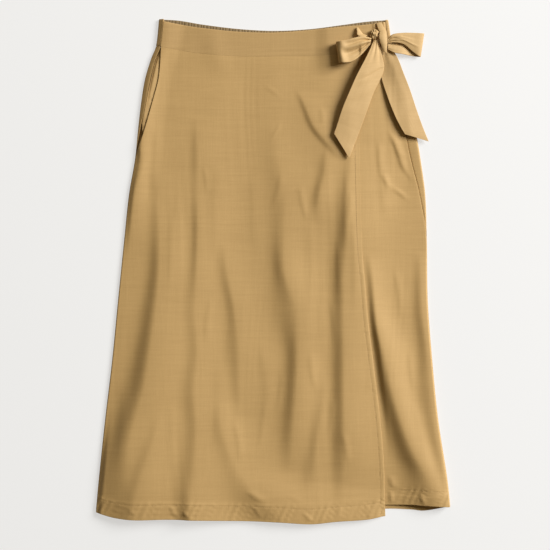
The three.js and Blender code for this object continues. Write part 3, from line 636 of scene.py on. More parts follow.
def ground_level(x, drop):
    """Height of the cloth that the tails lie on, with its steps bridged as a tail bridges them."""
    edge = side_x(1, drop) - 14
    inside = np.minimum(x, edge) + 10 * (1 - np.exp(-np.maximum(0, x - edge) / 10))
    past_edge = smooth(3, 42, inside - free_edge(drop))
    level = mix(overlap_level(inside, drop), underlay_level(inside, drop), past_edge)
    past_seam = smooth(-6, 30, drop - waist("seam", inside))
    return mix(np.maximum(level, band_level(inside)), level, past_seam)


def place(x, drop, z):
    x, drop, z = np.broadcast_arrays(np.asarray(x, float), drop, z)
    return np.stack([x - MIDDLE_X, LENGTH / 2 - drop, z], axis=-1)


def cut_places(x, drop):
    """Where a point lies on its flat cloth, for the weave."""
    return np.stack([x, -drop], axis=-1)


# Meshes
def edge_share(away, reach, least):
    """Share of the half thickness that is left at a distance from a rounded edge."""
    return np.sqrt(np.clip(1 - (1 - np.clip(away / reach, 0, 1)) ** 2, least, 1))


def rounded(steps, half):
    """Half thickness of a wall that is rounded over at both ends of its places."""
    return half * edge_share(np.minimum(steps - steps[0], steps[-1] - steps), half, 0.12)


def make_piece(name, points, faces, uv, material, sharp=55):
    mesh = bpy.data.meshes.new(name)
    mesh.from_pydata((points * MM).tolist(), [], faces)
    mesh.update()
    layer = mesh.uv_layers.new(name="cloth")
    corner = np.empty(len(mesh.loops), np.int32)
    mesh.loops.foreach_get("vertex_index", corner)
    layer.data.foreach_set("uv", (uv[corner] * MM).astype(np.float32).ravel())
    mesh.shade_smooth()
    mesh.set_sharp_from_angle(angle=math.radians(sharp))
    mesh.materials.append(material)
    piece = bpy.data.objects.new(name, mesh)
    bpy.context.scene.collection.objects.link(piece)
    return piece


def cloth_wall(name, middle, above, below, uv, material, shaded_inside=None):
    """A closed wall on a grid of points of its middle, with the two half walls above and below it."""
    high, wide = middle.shape[:2]
    down = np.concatenate([middle[1:], middle[-1:]]) - np.concatenate([middle[:1], middle[:-1]])
    over = (np.concatenate([middle[:, 1:], middle[:, -1:]], axis=1)
            - np.concatenate([middle[:, :1], middle[:, :-1]], axis=1))
    normal = np.cross(down, over)
    normal /= np.linalg.norm(normal, axis=-1, keepdims=True)
    above = np.broadcast_to(above, (high, wide))[..., None]
    below = np.broadcast_to(below, (high, wide))[..., None]
    upper = (middle + normal * above).reshape(-1, 3)
    lower = (middle - normal * below).reshape(-1, 3)
    index = np.arange(high * wide).reshape(high, wide)
    top = np.stack([index[:-1, :-1], index[1:, :-1], index[1:, 1:], index[:-1, 1:]], axis=-1).reshape(-1, 4)
    bottom = top[:, ::-1] + high * wide
    rim = np.concatenate([index[:-1, 0], index[-1, :-1], index[:0:-1, -1], index[0, :0:-1]])
    following = np.roll(rim, -1)
    edge = np.stack([rim + high * wide, following + high * wide, following, rim], axis=-1)
    faces = np.concatenate([top, bottom, edge]).tolist()
    flat_uv = np.broadcast_to(uv, (high, wide, 2)).reshape(-1, 2)
    piece = make_piece(name, np.concatenate([upper, lower]), faces, np.tile(flat_uv, (2, 1)), material)
    # A second material, the painted-shade inside of the band, goes on the upper faces
    if shaded_inside:
        piece.data.materials.append(shaded_inside)
        inner = np.zeros(len(faces), np.int32)
        inner[:len(top)] = 1
        piece.data.polygons.foreach_set("material_index", inner)
    return piece


# Materials
def set_sockets(node, **values):
    for name, value in values.items():
        node.inputs[name.replace("_", " ")].default_value = value
    return node


def new_material(name, **values):
    """A material, its surface with these values, and the ways to add a node and to join two."""
    material = bpy.data.materials.new(name)
    material.use_nodes = True
    nodes = material.node_tree.nodes
    surface = set_sockets(nodes["Principled BSDF"], **values)

    def add(kind, **sockets):
        return set_sockets(nodes.new("ShaderNode" + kind), **sockets)

    def colour_by(share, low, high):
        colours = add("ValToRGB")
        for element, tone in zip(colours.color_ramp.elements, (low, high)):
            element.color = (*tone, 1)
        join(share, colours.inputs["Fac"])
        join(colours.outputs["Color"], surface.inputs["Base Color"])

    join = material.node_tree.links.new
    return material, surface, add, join, colour_by


THREAD_PITCH = 0.62
TONE_GAIN = 2.2
MIDDLE_TONE = 0.5


def linen(name, colour, shade):
    """Plain-weave linen blend: crossing threads, thick slubs both ways and a slow drift of colour."""
    material, surface, add, join, colour_by = new_material(name, Roughness=0.76, Specular_IOR_Level=1)
    where = add("TexCoord").outputs["UV"]

    def noise(across, along, detail, roughness=0.5, bend=0.0):
        texture = add("TexNoise", Scale=1, Detail=detail, Roughness=roughness, Distortion=bend)
        mapping = add("Mapping", Scale=(across, along, 1))
        join(where, mapping.inputs["Vector"])
        join(mapping.outputs["Vector"], texture.inputs["Vector"])
        return texture.outputs["Fac"]

    def combine(operation, first, second):
        node = add("Math")
        node.operation = operation
        for socket, value in zip(node.inputs, (first, second)):
            if isinstance(value, (int, float)):
                socket.default_value = value
            else:
                join(value, socket)
        return node.outputs["Value"]

    def ramp(value, low, high):
        node = add("MapRange", From_Min=0.25, From_Max=0.75, To_Min=low, To_Max=high)
        join(value, node.inputs["Value"])
        return node.outputs["Result"]

    warp_slub = noise(330, 17, 4, 0.65, 0.9)
    weft_slub = noise(15, 290, 4, 0.65, 0.9)
    drift = noise(9, 9, 3)
    speckle = noise(420, 420, 2)
    tone = combine("ADD", ramp(warp_slub, -0.045, 0.045), ramp(weft_slub, -0.065, 0.065))
    tone = combine("ADD", tone, ramp(drift, -0.035, 0.035))
    tone = combine("ADD", tone, ramp(speckle, -0.03, 0.03))
    share = combine("ADD", combine("MULTIPLY", tone, TONE_GAIN), MIDDLE_TONE)
    colour_by(share, shade, [2 * c - s for c, s in zip(colour, shade)])

    def threads(direction):
        wave = add("TexWave", Scale=0.314 / (THREAD_PITCH * MM), Distortion=2.5, Detail=2, Detail_Scale=0.8)
        wave.wave_type = "BANDS"
        wave.bands_direction = direction
        join(where, wave.inputs["Vector"])
        return wave.outputs["Fac"]

    weave = combine("MULTIPLY", threads("X"), threads("Y"))
    height = combine("ADD", combine("MULTIPLY", weave, 0.05), combine("ADD", warp_slub, weft_slub))
    bump = add("Bump", Strength=0.4, Distance=0.00022)
    join(height, bump.inputs["Height"])
    join(bump.outputs["Normal"], surface.inputs["Normal"])
    return material


def thread_finish(name, colour):
    material, _, add, join, colour_by = new_material(name, Roughness=0.6)
    twist = add("TexNoise", Scale=900)
    join(add("TexCoord").outputs["Object"], twist.inputs["Vector"])
    colour_by(twist.outputs["Fac"], [c * 0.86 for c in colour], [min(1, c * 1.1) for c in colour])
    return material


PANEL_LINEN = linen("tan linen", (0.5, 0.305, 0.0985), (0.41, 0.239, 0.067))
BAND_LINEN = linen("waistband linen", (0.46, 0.279, 0.09), (0.375, 0.216, 0.062))
TIE_LINEN = linen("tie linen", (0.52, 0.328, 0.122), (0.44, 0.268, 0.09))
FACING_LINEN = linen("facing linen", (0.52, 0.322, 0.112), (0.42, 0.248, 0.078))
# The band's own linen painted much darker: painted shade inside the waist, where the back band shows above
# the front band
INSIDE_PAINTED_SHADE_LINEN = linen("inside of the band, painted shade", (0.2, 0.125, 0.04), (0.15, 0.09, 0.026))
THREAD = thread_finish("matching thread", (0.42, 0.27, 0.11))


# Down a panel: places by share of its length above the hem, and by distance from there
def down_places(middle_count):
    top = [(0, t) for t in (0, 0.15, 0.5, 1.2, 2.5, 4.5)]
    body = [(v, 0) for v in np.linspace(0.01, 0.988, middle_count)]
    low = [(1, t) for t in (-6, -4, -2.6, -1.4, -0.6, 0, 0.6, 1.4, 2.4, 3.6, 5)]
    turned = [(1, t) for t in (*np.arange(6.5, 25, 1.7), 25.8, 26.4, 26.8, HEM_DEPTH)]
    return np.array(top + body + low + turned, float)


SEAM_SHOWN = 0.12
FRONT_TUCK = 0.1
SEAM_DIP = 0.5
SEAM_DIP_WIDE = 2.2
CLOSE_STEPS = np.array([0, 0.15, 0.4, 0.8, 1.25, 1.7, 2.15, 2.6, 3.6, 5, 6.5, 8.2, 10, 12])
MIDDLE_STEP = 3
PANEL_LONG = 700
EDGE_STEPS = np.array([9.5, 8.6, 8, 7.5, 7, 6.2, 5, 3.6, 2.2, 1.2, 0.6, 0.25, 0])


def front_panel(sign, hem_line, far_edge, level, across, down):
    """Middle points, half thickness and flat places of a front panel."""
    share, offset = down_places(down).T[..., None]

    def drop_at(x):
        top = waist("seam", x) + SEAM_SHOWN
        return top + share * (hem(hem_line, x) - HEM_DEPTH - top) + offset

    edge_drop = drop_at_edge(drop_at, lambda drop: side_x(sign, drop))
    start = np.maximum(0, arc_at(front_inset(sign, edge_drop), SIDE_ROLL, PLY)) + SIDE_SEAM / 2
    near, dip = round_side(edge_drop, sign, start + CLOSE_STEPS, SIDE_ROLL, PLY)
    if sign > 0:
        dip = dip + FRONT_TUCK * (1 - smooth(0.6, 2.6, CLOSE_STEPS))
    begin = near[:, -1:]
    end = far_edge(drop_at_edge(drop_at, far_edge))
    stop = end + sign * EDGE_STEPS[0]
    far = mix(begin, stop, np.linspace(0, 1, across)[None, 1:-1])
    x = np.concatenate([near, far, end + sign * EDGE_STEPS], axis=1)
    dips = np.concatenate([dip, np.zeros((len(x), x.shape[1] - dip.shape[1]))], axis=1)
    drop = drop_at(x)
    points = place(x, drop, level(x, drop) - dips)
    middle = CLOSE_STEPS[-1] + np.arange(1, far.shape[1] + 1) * MIDDLE_STEP
    columns = rounded(np.concatenate([CLOSE_STEPS, middle, middle[-1] + 12 - EDGE_STEPS]), PLY / 2)
    rows = rounded((share * PANEL_LONG + offset)[:, 0], PLY / 2)
    rows = np.where(share[:, 0] < 0.5, np.maximum(rows, 0.47 * PLY), rows)
    half = np.minimum(columns[None, :], rows[:, None])
    if sign < 0:
        pressed = 1 - smooth(0, 2.6, free_edge(drop) - x)
        half = half * (1 - np.maximum(0.75 * edge_close(x, drop), 0.55 * pressed))
    uv = cut_places(x, drop)
    if sign > 0:
        points, half, uv = points[:, ::-1], half[:, ::-1], uv[:, ::-1]
    return points, half, uv


def dress(piece, node):
    """Each cloth piece rides on the part and stands for its solid."""
    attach(piece, "root")
    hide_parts(node)


points, half, uv = front_panel(-1, "overlap", free_edge, overlap_level, 138, 212)
overlap = cloth_wall("overlap_cloth", points, half, half, uv, PANEL_LINEN)
dress(overlap, "front_overlap")

points, half, uv = front_panel(
    1, "underlay", lambda drop: UNDERLAY_HIDDEN_EDGE + 0 * drop, underlay_level, 88, 180)
underlay = cloth_wall("underlay_cloth", points, half, half, uv, PANEL_LINEN)
dress(underlay, "front_underlay")


def joined(left, flat, right):
    """One sheet from its left roll, its flat middle and its right roll."""
    return [np.concatenate([a[:, ::-1], b, c], axis=1) for a, b, c in zip(left, flat, right)]


def back_panel():
    """The back lies on the surface and rolls up round both side folds to its seams."""
    share, offset = down_places(110).T[..., None]
    quarter = roll_length(SIDE_ROLL)

    def drop_at(x):
        top = waist("seam", x) + 2 * SEAM
        return top + share * (hem("back", x) - HEM_DEPTH - top) + offset

    def turn(sign):
        drop = drop_at_edge(drop_at, lambda d: side_x(sign, d))
        end = np.maximum(arc_at(lip_inset(sign, drop), SIDE_ROLL, PLY), 0) - SIDE_SEAM / 2
        steps = np.concatenate([np.linspace(0, 0.88, 14), [0.92, 0.95, 0.975, 1]])
        arc = mix(-quarter, end, steps[None, :])
        x, dip = round_side(drop, sign, arc, SIDE_ROLL, PLY)
        if sign > 0:
            dip = dip + SEAM_DIP * (1 - smooth(0, SEAM_DIP_WIDE, end - arc)) * smooth(1, 4, end)
        lift = np.where(arc > quarter, roll_lift(arc, drop) + FIRST_LEVEL, ROLL_TOP)
        return x, drop + 0 * x, lift - dip + side_lip(sign, arc, drop)

    left = turn(-1)
    right = turn(1)
    start = left[0][:, :1]
    stop = right[0][:, :1]
    flat_x = mix(start, stop, np.linspace(0, 1, 104)[None, 1:-1])
    flat = (flat_x, drop_at(flat_x), BACK_LEVEL + 0 * flat_x)
    x, drop, z = joined(left, flat, right)
    return place(x, drop, z), cut_places(x, drop)


points, uv = back_panel()
back = cloth_wall("back_cloth", points, PLY / 2, PLY / 2, uv, PANEL_LINEN)
dress(back, "back_panel")


GATHER_RISE = 0.42
GATHER_PITCH = 5.5
MOUTH_GROOVE = 1.7


def pocket(name, sign, node):
    """Facing and bag: the left one shows in its opening and is gathered along it."""
    v = np.linspace(0, 1, 60)[:, None]
    outer_drop = mix(BAG_TOP, BAG_LOW - BAG_SLANT, v)
    inner_drop = mix(BAG_TOP, BAG_LOW, v)
    outer = side_x(sign, outer_drop) - sign * (bag_inset(sign, outer_drop) + SEAM)
    inner = sign * (BAG_INNER + BAG_ROUND * v ** 6)
    steps = np.concatenate([[0, 0.004, 0.01, 0.02], np.linspace(0.03, 0.2, 12), np.linspace(0.23, 1, 24)])
    u = steps[None, :]
    x = mix(outer, inner, u)
    drop = mix(outer_drop, inner_drop, np.sin(u * math.pi / 2))
    gathers = GATHER_RISE * wander(outer_drop + 0.3 * u, GATHER_PITCH, 0.4) * (1 - smooth(0.06, 0.16, u))
    groove = MOUTH_GROOVE * (1 - smooth(0.012, 0.04, u)) * (1 - smooth(105, 160, outer_drop))
    points = place(x, drop, bag_level(sign, x, drop) + (gathers - groove))
    uv = cut_places(x, drop)
    if sign > 0:
        points, uv = points[:, ::-1], uv[:, ::-1]
    piece = cloth_wall(name, points, PLY / 2, PLY / 2, uv, FACING_LINEN)
    dress(piece, node)


pocket("left_pocket_cloth", -1, "left_pocket")
pocket("right_pocket_cloth", 1, "right_pocket")


# The elastic gathers the back band into upright ribs, seen on its inside above the front band
RIBS = 72
POINTS_A_RIB = 6
RIB_DEPTH_INSIDE = 0.6
RIB_DEPTH_OUTSIDE = 0.5


def back_band():
    v = np.array([0, 0.01, 0.03, 0.06, *np.linspace(0.1, 0.94, 22), 0.97, 0.985, 1])[:, None]
    quarter = roll_length(BAND_ROLL)

    def drop_at(x):
        return mix(waist("back", x), waist("seam", x), v)

    def turn(sign):
        drop = drop_at_edge(drop_at, lambda d: side_x(sign, d))
        lip = arc_at(front_inset(sign, drop), BAND_ROLL, BACK_BAND_PLY)
        arc = mix(-quarter, lip - SEAM / 2, np.linspace(0, 1, 14)[None, :])
        x, dip = round_side(drop, sign, arc, BAND_ROLL, BACK_BAND_PLY)
        return x, drop + 0 * x, BACK_BAND_LEVEL + 2 * BAND_ROLL - dip + side_lip(sign, arc, drop)

    left = turn(-1)
    right = turn(1)
    flat_x = mix(left[0][:, :1], right[0][:, :1], np.linspace(0, 1, POINTS_A_RIB * RIBS + 1)[None, 1:-1])
    flat = (flat_x, drop_at(flat_x), BACK_BAND_LEVEL + 0 * flat_x)
    x, drop, z = joined(left, flat, right)
    turn_count = left[0].shape[1]
    place_across = (np.arange(x.shape[1]) - turn_count) / POINTS_A_RIB
    on_flat = smooth(0, 1.5, place_across) * (1 - smooth(RIBS - 1.5, RIBS, place_across))
    uneven = place_across + 0.16 * np.sin(place_across * 1.9) + 0.1 * np.sin(place_across * 4.3)
    groove = 0.5 - 0.5 * np.cos(2 * math.pi * uneven)
    depth = RIB_DEPTH_INSIDE * on_flat * groove ** 1.4
    inner = BACK_BAND_PLY / 2 - depth[None, :] * (1 - 0.35 * smooth(0.6, 1, v))
    outside = RIB_DEPTH_OUTSIDE * on_flat[None, :] * groove[None, :] * smooth(0.02, 0.1, v)
    outer = BACK_BAND_PLY / 2 - outside
    ends = np.minimum(1, 0.45 + 20 * np.minimum(v, 1 - v))
    uv = cut_places(x, drop)
    return place(x, drop, z), inner * ends, outer * np.maximum(ends, 0.7), uv


points, inner, outer, uv = back_band()
# The upper faces of the back band take the darker copy of its linen, as painted shade inside the waist
band = cloth_wall("back_band_cloth", points, inner, outer, uv, BAND_LINEN, INSIDE_PAINTED_SHADE_LINEN)
dress(band, "back_waistband")


BAND_STEPS = np.concatenate([[0, 0.004, 0.012, 0.03, 0.06], np.linspace(0.1, 0.9, 16),
                             [0.94, 0.97, 0.988, 0.996, 1]])
BAND_DOWN = BAND_STEPS[:, None]
BAND_HALF = np.array([0.35, 0.62, 0.85, 1, *[1] * 19, 1, 0.98, 0.95])[:, None] * FRONT_BAND_PLY / 2


def front_band(name, node, edges, across, level):
    """A doubled flat band between two edges, from the waist line down to the seam."""
    def drop_at(x):
        return mix(waist("front", x), waist("seam", x), BAND_DOWN)

    start, stop = (edge(drop_at_edge(drop_at, edge)) for edge in edges)
    steps = np.concatenate([[0, 0.001, 0.0025, 0.005], np.linspace(0.01, 0.99, across),
                            [0.995, 0.9975, 0.999, 1]])
    x = mix(start, stop, steps[None, :])
    drop = drop_at(x)
    points = place(x, drop, level(x, drop))
    piece = cloth_wall(name, points, BAND_HALF, BAND_HALF, cut_places(x, drop), BAND_LINEN)
    dress(piece, node)


def band_waves(x, drop, seed):
    """Faint long wrinkles that run along the band."""
    across = drop + 0.03 * x
    patch = 0.6 + 0.4 * np.sin(x / 31 + seed)
    return 0.16 * patch * wander(across, 7.5, seed) + 0.1 * wander(x + 0.5 * drop, 75, seed + 1)


def overlap_band_level(x, drop):
    lift = side_lip(-1, side_arc(-1, x, drop), drop) + waist_swell(x, drop)
    return band_level(x) + lift + band_waves(x, drop, 0.5)


overlap_band_edges = (
    lambda drop: side_x(-1, drop) + front_inset(-1, drop) + SEAM,
    lambda drop: FREE_EDGE["x"][0] + 0 * drop,
)
front_band("front_band_cloth", "front_waistband", overlap_band_edges, 150,
           overlap_band_level)

# The short band at the right is drawn up by its tie and creases near the side seam
BAND_CREASES = rows_of(
    "x rise wide",
    (172, 1, 2),
    (180.5, 1.6, 1.7),
    (187.5, 2, 1.7),
    (194, 1.7, 1.6),
)


def underlay_band_level(x, drop):
    lift = 0
    for crease_x, rise, wide in zip(*BAND_CREASES.values()):
        lift = lift + rise * bell(x - crease_x - 4 * BAND_DOWN, wide)
    return FRONT_BAND_LEVEL + lift * smooth(0, 0.4, 1 - BAND_DOWN) + band_waves(x, drop, 2.5)


underlay_band_edges = (
    lambda drop: UNDERLAY_BAND_END + 0 * drop,
    lambda drop: side_x(1, drop) - front_inset(1, drop) - SEAM,
)
front_band("side_band_cloth", "side_waistband", underlay_band_edges, 70,
           underlay_band_level)


# Loops, tails and other stretches of the two ties. Each row is a cut across the stretch:
# its edges a and b with x, drop and height, and how far its middle stands up between them.
def tie_rows(*rows):
    return rows_of("ax ad az bx bd bz belly", *rows)


LEFT_LOOP = tie_rows(
    (166.8, 36.2, 14, 164.5, 46.5, 13.5, 2),
    (151.1, 33.4, 18, 150, 64, 16, 3),
    (127, 39.8, 23.2, 134, 76, 21.2, 1),
    (113.5, 42.3, 24.6, 119, 78.5, 23, 0),
    (107, 43, 17.5, 112, 78.5, 16.5, 0),
    (113.5, 42.5, 8.5, 119, 78, 8.5, 0),
    (127, 40.5, 8.3, 134, 75, 8.3, 0),
    (149, 37, 9, 150, 60, 9, 0.5),
    (166, 38, 9.8, 163.5, 46, 9.8, 0.5),
)
RIGHT_LOOP = tie_rows(
    (194.3, 37, 14, 195, 44.5, 14, 1),
    (203, 29.8, 15.5, 207, 43.5, 15, 2),
    (219.3, 27.2, 14.5, 222, 46.5, 12.5, 2),
    (238, 26.8, 12, 237, 58, 8.6, 1.5),
    (252, 27, 9.4, 246.5, 64.8, 7.4, 0.5),
    (256.3, 27.2, 6, 250.4, 66.3, 5.2, 0),
    (251.5, 28, 2.2, 245, 66, 3, 0),
    (237, 29.5, 2.6, 233, 64.5, 5, 0),
    (220, 32, 6, 219.3, 62.4, 10.4, 0.5),
    (207, 36, 9.5, 206, 60.5, 12, 0.8),
    (195, 42.5, 11.5, 195, 55, 11.5, 1),
)
LEFT_TAIL = tie_rows(
    (171, 39.4, 4.6, 178.5, 38.6, 4.6, 1),
    (160, 63.8, 12.5, 184, 62, 5, 1.6),
    (142.3, 97.8, 14, 188, 90, 3.6, 1),
    (130, 125, 13, 171.7, 126, 4, 0.8),
    (118.2, 153, 10.8, 160, 157, 3.4, 0.8),
    (110, 178, 8, 148, 190, 3, 0.6),
    (103.5, 197.2, 6, 129.2, 238.8, 3.4, 0.3),
)
RIGHT_TAIL = tie_rows(
    (183.5, 47, 0.9, 193, 46, 0.9, 0.6),
    (182, 66, 1, 209.5, 64.4, 1.6, 0.8),
    (183, 97, 0.6, 222, 95, 1.6, 0.8),
    (191.5, 127, 3.6, 232.5, 122, 1, 0.6),
    (203.5, 160, 5.6, 244.5, 158, 1, 0.6),
    (215, 184, 5.8, 255, 187, 0.8, 0.5),
    (223.4, 198, 5, 264.4, 210, 0.6, 0.3),
)
TIE_EAR = tie_rows(
    (141.6, 17.6, 9, 144.4, 16.8, 8.6, 0),
    (142.4, 24, 12.5, 148.6, 22.6, 9.5, 0.5),
    (143.5, 31, 13.5, 153.5, 28.5, 9.5, 0.8),
    (156, 34.6, 12, 160.5, 30.5, 10, 0.6),
)
TIE_ROOT = tie_rows(
    (175.5, 9.5, 6.3, 184.5, 8, 6.3, 0.5),
    (177.5, 17, 8.4, 187.5, 15.5, 8, 0.6),
    (180.6, 26, 10.6, 192, 25, 10, 0.8),
    (180.6, 31, 11.6, 192.4, 31, 10.8, 0.8),
)
KNOT_BAND = tie_rows(
    (181.2, 23.5, 12.4, 192.2, 23.5, 11.6, 1),
    (179.6, 34, 16, 193.4, 35.5, 14.5, 1.4),
    (182, 45, 16.3, 193.5, 46.5, 14.5, 1.4),
    (187.5, 59.5, 13, 192.5, 60.5, 12.5, 0.8),
)
KNOT = {"x": 173, "drop": 29.5, "height": 8.7, "across": 15, "along": 18.5, "tall": 11, "pleats": 5}


# Creases of the ties: share along the stretch at both ends, share across at both ends, half width, rise
def crease_rows(*rows):
    return rows_of("s0 s1 u0 u1 wide rise", *rows)


NO_CREASES = crease_rows((0, 1, 0, 0, 1, 0))


def tie_creases(creases, s, u):
    height = np.zeros(np.broadcast(s, u).shape)
    for s0, s1, u0, u1, wide, rise in zip(*creases.values()):
        share = np.clip((s - s0) / (s1 - s0), 0, 1)
        fade = smooth(-0.01, 0.12, share) * (1 - smooth(0.55, 1, share))
        away = (u - mix(u0, u1, share)) / (wide * (0.7 + 0.9 * share))
        height = height + rise * fade * bell(away, 1)
    return height


# A tie's edges are rounded over, and its weave runs along it at its finished width
TIE_ROUND = 0.65
TIE_WIDTH = 40


def tie(name, table, node, along=100, across=26, ground=False, pleats=0, pleat_rise=0,
        gathers=(0.0, 0.0), waves=0.25, seed=0.0, creases=NO_CREASES):
    """A stretch of tie through its rows, with pleats where it is drawn together at either end."""
    rows = np.arange(len(table["ax"]), dtype=float)
    s = np.linspace(0, 1, along)[:, None]
    at = s * rows[-1]
    value = {column: through(table[column], rows, at) for column in table}
    steps = np.concatenate([[0, 0.004, 0.012, 0.024], np.linspace(0.04, 0.96, across - 8),
                            [0.976, 0.988, 0.996, 1]])
    u = steps[None, :]
    x = mix(value["ax"], value["bx"], u)
    drop = mix(value["ad"], value["bd"], u)
    bulge = value["belly"] * np.sin(math.pi * u)
    pleat = pleat_rise * np.sin(2 * math.pi * pleats * u) * (1 - smooth(0, 0.3, s))
    near_start = 1 - smooth(0, 0.35, s)
    near_end = smooth(0.7, 1, s)
    fine = (gathers[0] * near_start * wander(u * 10 + 0.6 * s, 2.3, seed)
            + gathers[1] * near_end * wander(u * 10 - 0.6 * s, 2.3, seed + 1))
    calm = np.sin(math.pi * u) ** 0.5
    soft = waves * calm * wander(s * 10 + 1.3 * u, 2.6, seed + 2)
    base = ground_level(x, drop) + PLY / 2 + TIE_PLY / 2 if ground else 0
    z = base + mix(value["az"], value["bz"], u) + bulge + pleat + fine + soft + tie_creases(creases, s, u)
    width = np.abs(value["bx"] - value["ax"]) + np.abs(value["bd"] - value["ad"])
    away = np.minimum(u, 1 - u) * np.maximum(width, 8)
    half = TIE_PLY / 2 * edge_share(away, TIE_ROUND, 0.15)
    points = place(x, drop, z)
    strides = np.linalg.norm(np.diff(points[:, across // 2], axis=0), axis=1)
    length = np.cumsum(np.concatenate([[0], strides]))
    uv = np.stack([u * TIE_WIDTH + 0 * s, -(length[:, None] + 0 * u)], axis=-1)
    piece = cloth_wall(name, points, half, half, uv + np.array([seed * 300, seed * 170]), TIE_LINEN)
    dress(piece, node)


LEFT_LOOP_CREASES = crease_rows(
    (0, 0.42, 0.6, 0.56, 0.085, -4.2),
    (0, 0.36, 0.24, 0.16, 0.06, -2.8),
    (0, 0.36, 0.42, 0.34, 0.06, 1.8),
    (0.02, 0.38, 0.84, 0.84, 0.06, -1.6),
    (0.13, 0.4, 0.68, 0.62, 0.22, -2.7),
)
RIGHT_LOOP_CREASES = crease_rows(
    (0, 0.17, 0.4, 0.5, 0.09, -1.8),
    (0, 0.14, 0.75, 0.8, 0.07, -1.2),
    (0.16, 0.42, 0.62, 0.62, 0.03, 0.7),
    (0.18, 0.38, 0.3, 0.26, 0.06, -0.4),
    (0.82, 1.02, 0.45, 0.4, 0.08, -1.4),
)
LEFT_TAIL_CREASES = crease_rows(
    (0, 0.3, 0.55, 0.4, 0.06, -1.2),
    (0.02, 0.34, 0.85, 0.8, 0.05, -0.9),
    (0.3, 0.42, 0.95, 0.1, 0.1, -1.1),
    (0.3, 0.62, 0.3, 0.36, 0.12, 0.4),
)
RIGHT_TAIL_CREASES = crease_rows(
    (0, 0.3, 0.3, 0.25, 0.06, -0.7),
    (0, 0.24, 0.7, 0.8, 0.06, -0.8),
    (0.2, 0.7, 0.62, 0.7, 0.12, 0.4),
)
tie("right_tail_cloth", RIGHT_TAIL, "right_tail", ground=True,
    along=120, across=34, gathers=(0.25, 0), waves=0.3, seed=0.6,
    creases=RIGHT_TAIL_CREASES)
tie("left_tail_cloth", LEFT_TAIL, "left_tail", ground=True,
    along=120, across=34, gathers=(0.25, 0), waves=0.3, seed=1.4,
    creases=LEFT_TAIL_CREASES)
tie("left_loop_cloth", LEFT_LOOP, "left_loop", along=170, across=44, pleats=2,
    pleat_rise=0.6, gathers=(0.3, 0.2), seed=2.2,
    creases=LEFT_LOOP_CREASES)
tie("right_loop_cloth", RIGHT_LOOP, "right_loop", along=170, across=44,
    pleats=1, pleat_rise=0.5, gathers=(0.3, 0.2), seed=3.1,
    creases=RIGHT_LOOP_CREASES)
tie("tie_ear_cloth", TIE_EAR, "tie_ear", along=40, across=20,
    waves=0.1, seed=3.9)
tie("tie_root_cloth", TIE_ROOT, "tie_root", along=36, across=22,
    gathers=(0.15, 0.2), waves=0.1, seed=4.4)
tie("knot_band_cloth", KNOT_BAND, "knot_band", along=60,
    gathers=(0.3, 0.3), waves=0.15, seed=5.2)


def knot():
    """The knot is a lump wound of several turns, with pleats running over it."""
    turns = np.linspace(0, math.pi, 46)[:, None]
    around = np.linspace(0, 2 * math.pi, 73)[None, :-1]
    px = 0.5 * np.sin(turns) * np.cos(around)
    pz = 0.5 * np.sin(turns) * np.sin(around)
    py = 0.5 * np.cos(turns) + 0 * around
    swell = 1 + 0.07 * np.sin(KNOT["pleats"] * 2 * math.pi * (px + 0.4 * py))
    swell = swell + 0.07 * np.sin(9 * px + 14 * py + 2) + 0.05 * np.sin(26 * px - 9 * py)
    x = KNOT["x"] + px * swell * KNOT["across"]
    drop = KNOT["drop"] - py * swell * KNOT["along"]
    z = KNOT["height"] + pz * swell * KNOT["tall"]
    points = place(x, drop, z)
    high, wide = points.shape[:2]
    index = np.arange(high * wide).reshape(high, wide)
    nxt = np.roll(index, -1, axis=1)
    sides = np.stack([index[1:-2], nxt[1:-2], nxt[2:-1], index[2:-1]], axis=-1).reshape(-1, 4)
    caps = ([[index[0, 0], nxt[1, k], index[1, k]] for k in range(wide)]
            + [[index[-1, 0], index[-2, k], nxt[-2, k]] for k in range(wide)])
    used = np.unique(np.concatenate([sides.ravel(), np.array(caps).ravel()]))
    renumber = np.full(high * wide, -1)
    renumber[used] = np.arange(len(used))
    faces = [renumber[f].tolist() for f in sides] + [[int(renumber[k]) for k in f] for f in caps]
    uv = np.stack([around * 7 + 0 * turns, turns * 12 + 0 * around], axis=-1)
    piece = make_piece("knot_cloth", points.reshape(-1, 3)[used], faces, uv.reshape(-1, 2)[used], TIE_LINEN)
    dress(piece, "knot")


knot()

# Stitching: short raised threads set end to end along each sewn line
STITCH_LONG = 2.5
STITCH_WIDE = 0.42
STITCH_TALL = 0.3


def stitches(name, centres, ways):
    """One small rounded bar for each stitch, at its centre and along its way."""
    ring = np.array([(0, 1), (0.87, 0.5), (0.87, -0.5), (0, -1), (-0.87, -0.5), (-0.87, 0.5)])
    stations = [(-0.5, 0.3), (-0.3, 1), (0.3, 1), (0.5, 0.3)]
    points, faces = [], []
    up = np.array([0, 0, 1.0])
    for centre, way in zip(centres, ways):
        way = way / np.linalg.norm(way)
        across = np.cross(up, way)
        across /= np.linalg.norm(across)
        first = len(points)
        for along, size in stations:
            for a, b in ring:
                points.append(centre + way * along * STITCH_LONG + across * a * size * STITCH_WIDE / 2
                              + up * b * size * STITCH_TALL / 2)
        for k in range(len(stations) - 1):
            low = first + 6 * k
            high = low + 6
            for m in range(6):
                n = (m + 1) % 6
                faces.append([low + m, high + m, high + n, low + n])
        faces.append([first + m for m in range(6)])
        faces.append([first + 18 + m for m in reversed(range(6))])
    points = np.array(points)
    piece = make_piece(name, points, faces, points[:, :2], THREAD, sharp=80)
    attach(piece, "root")


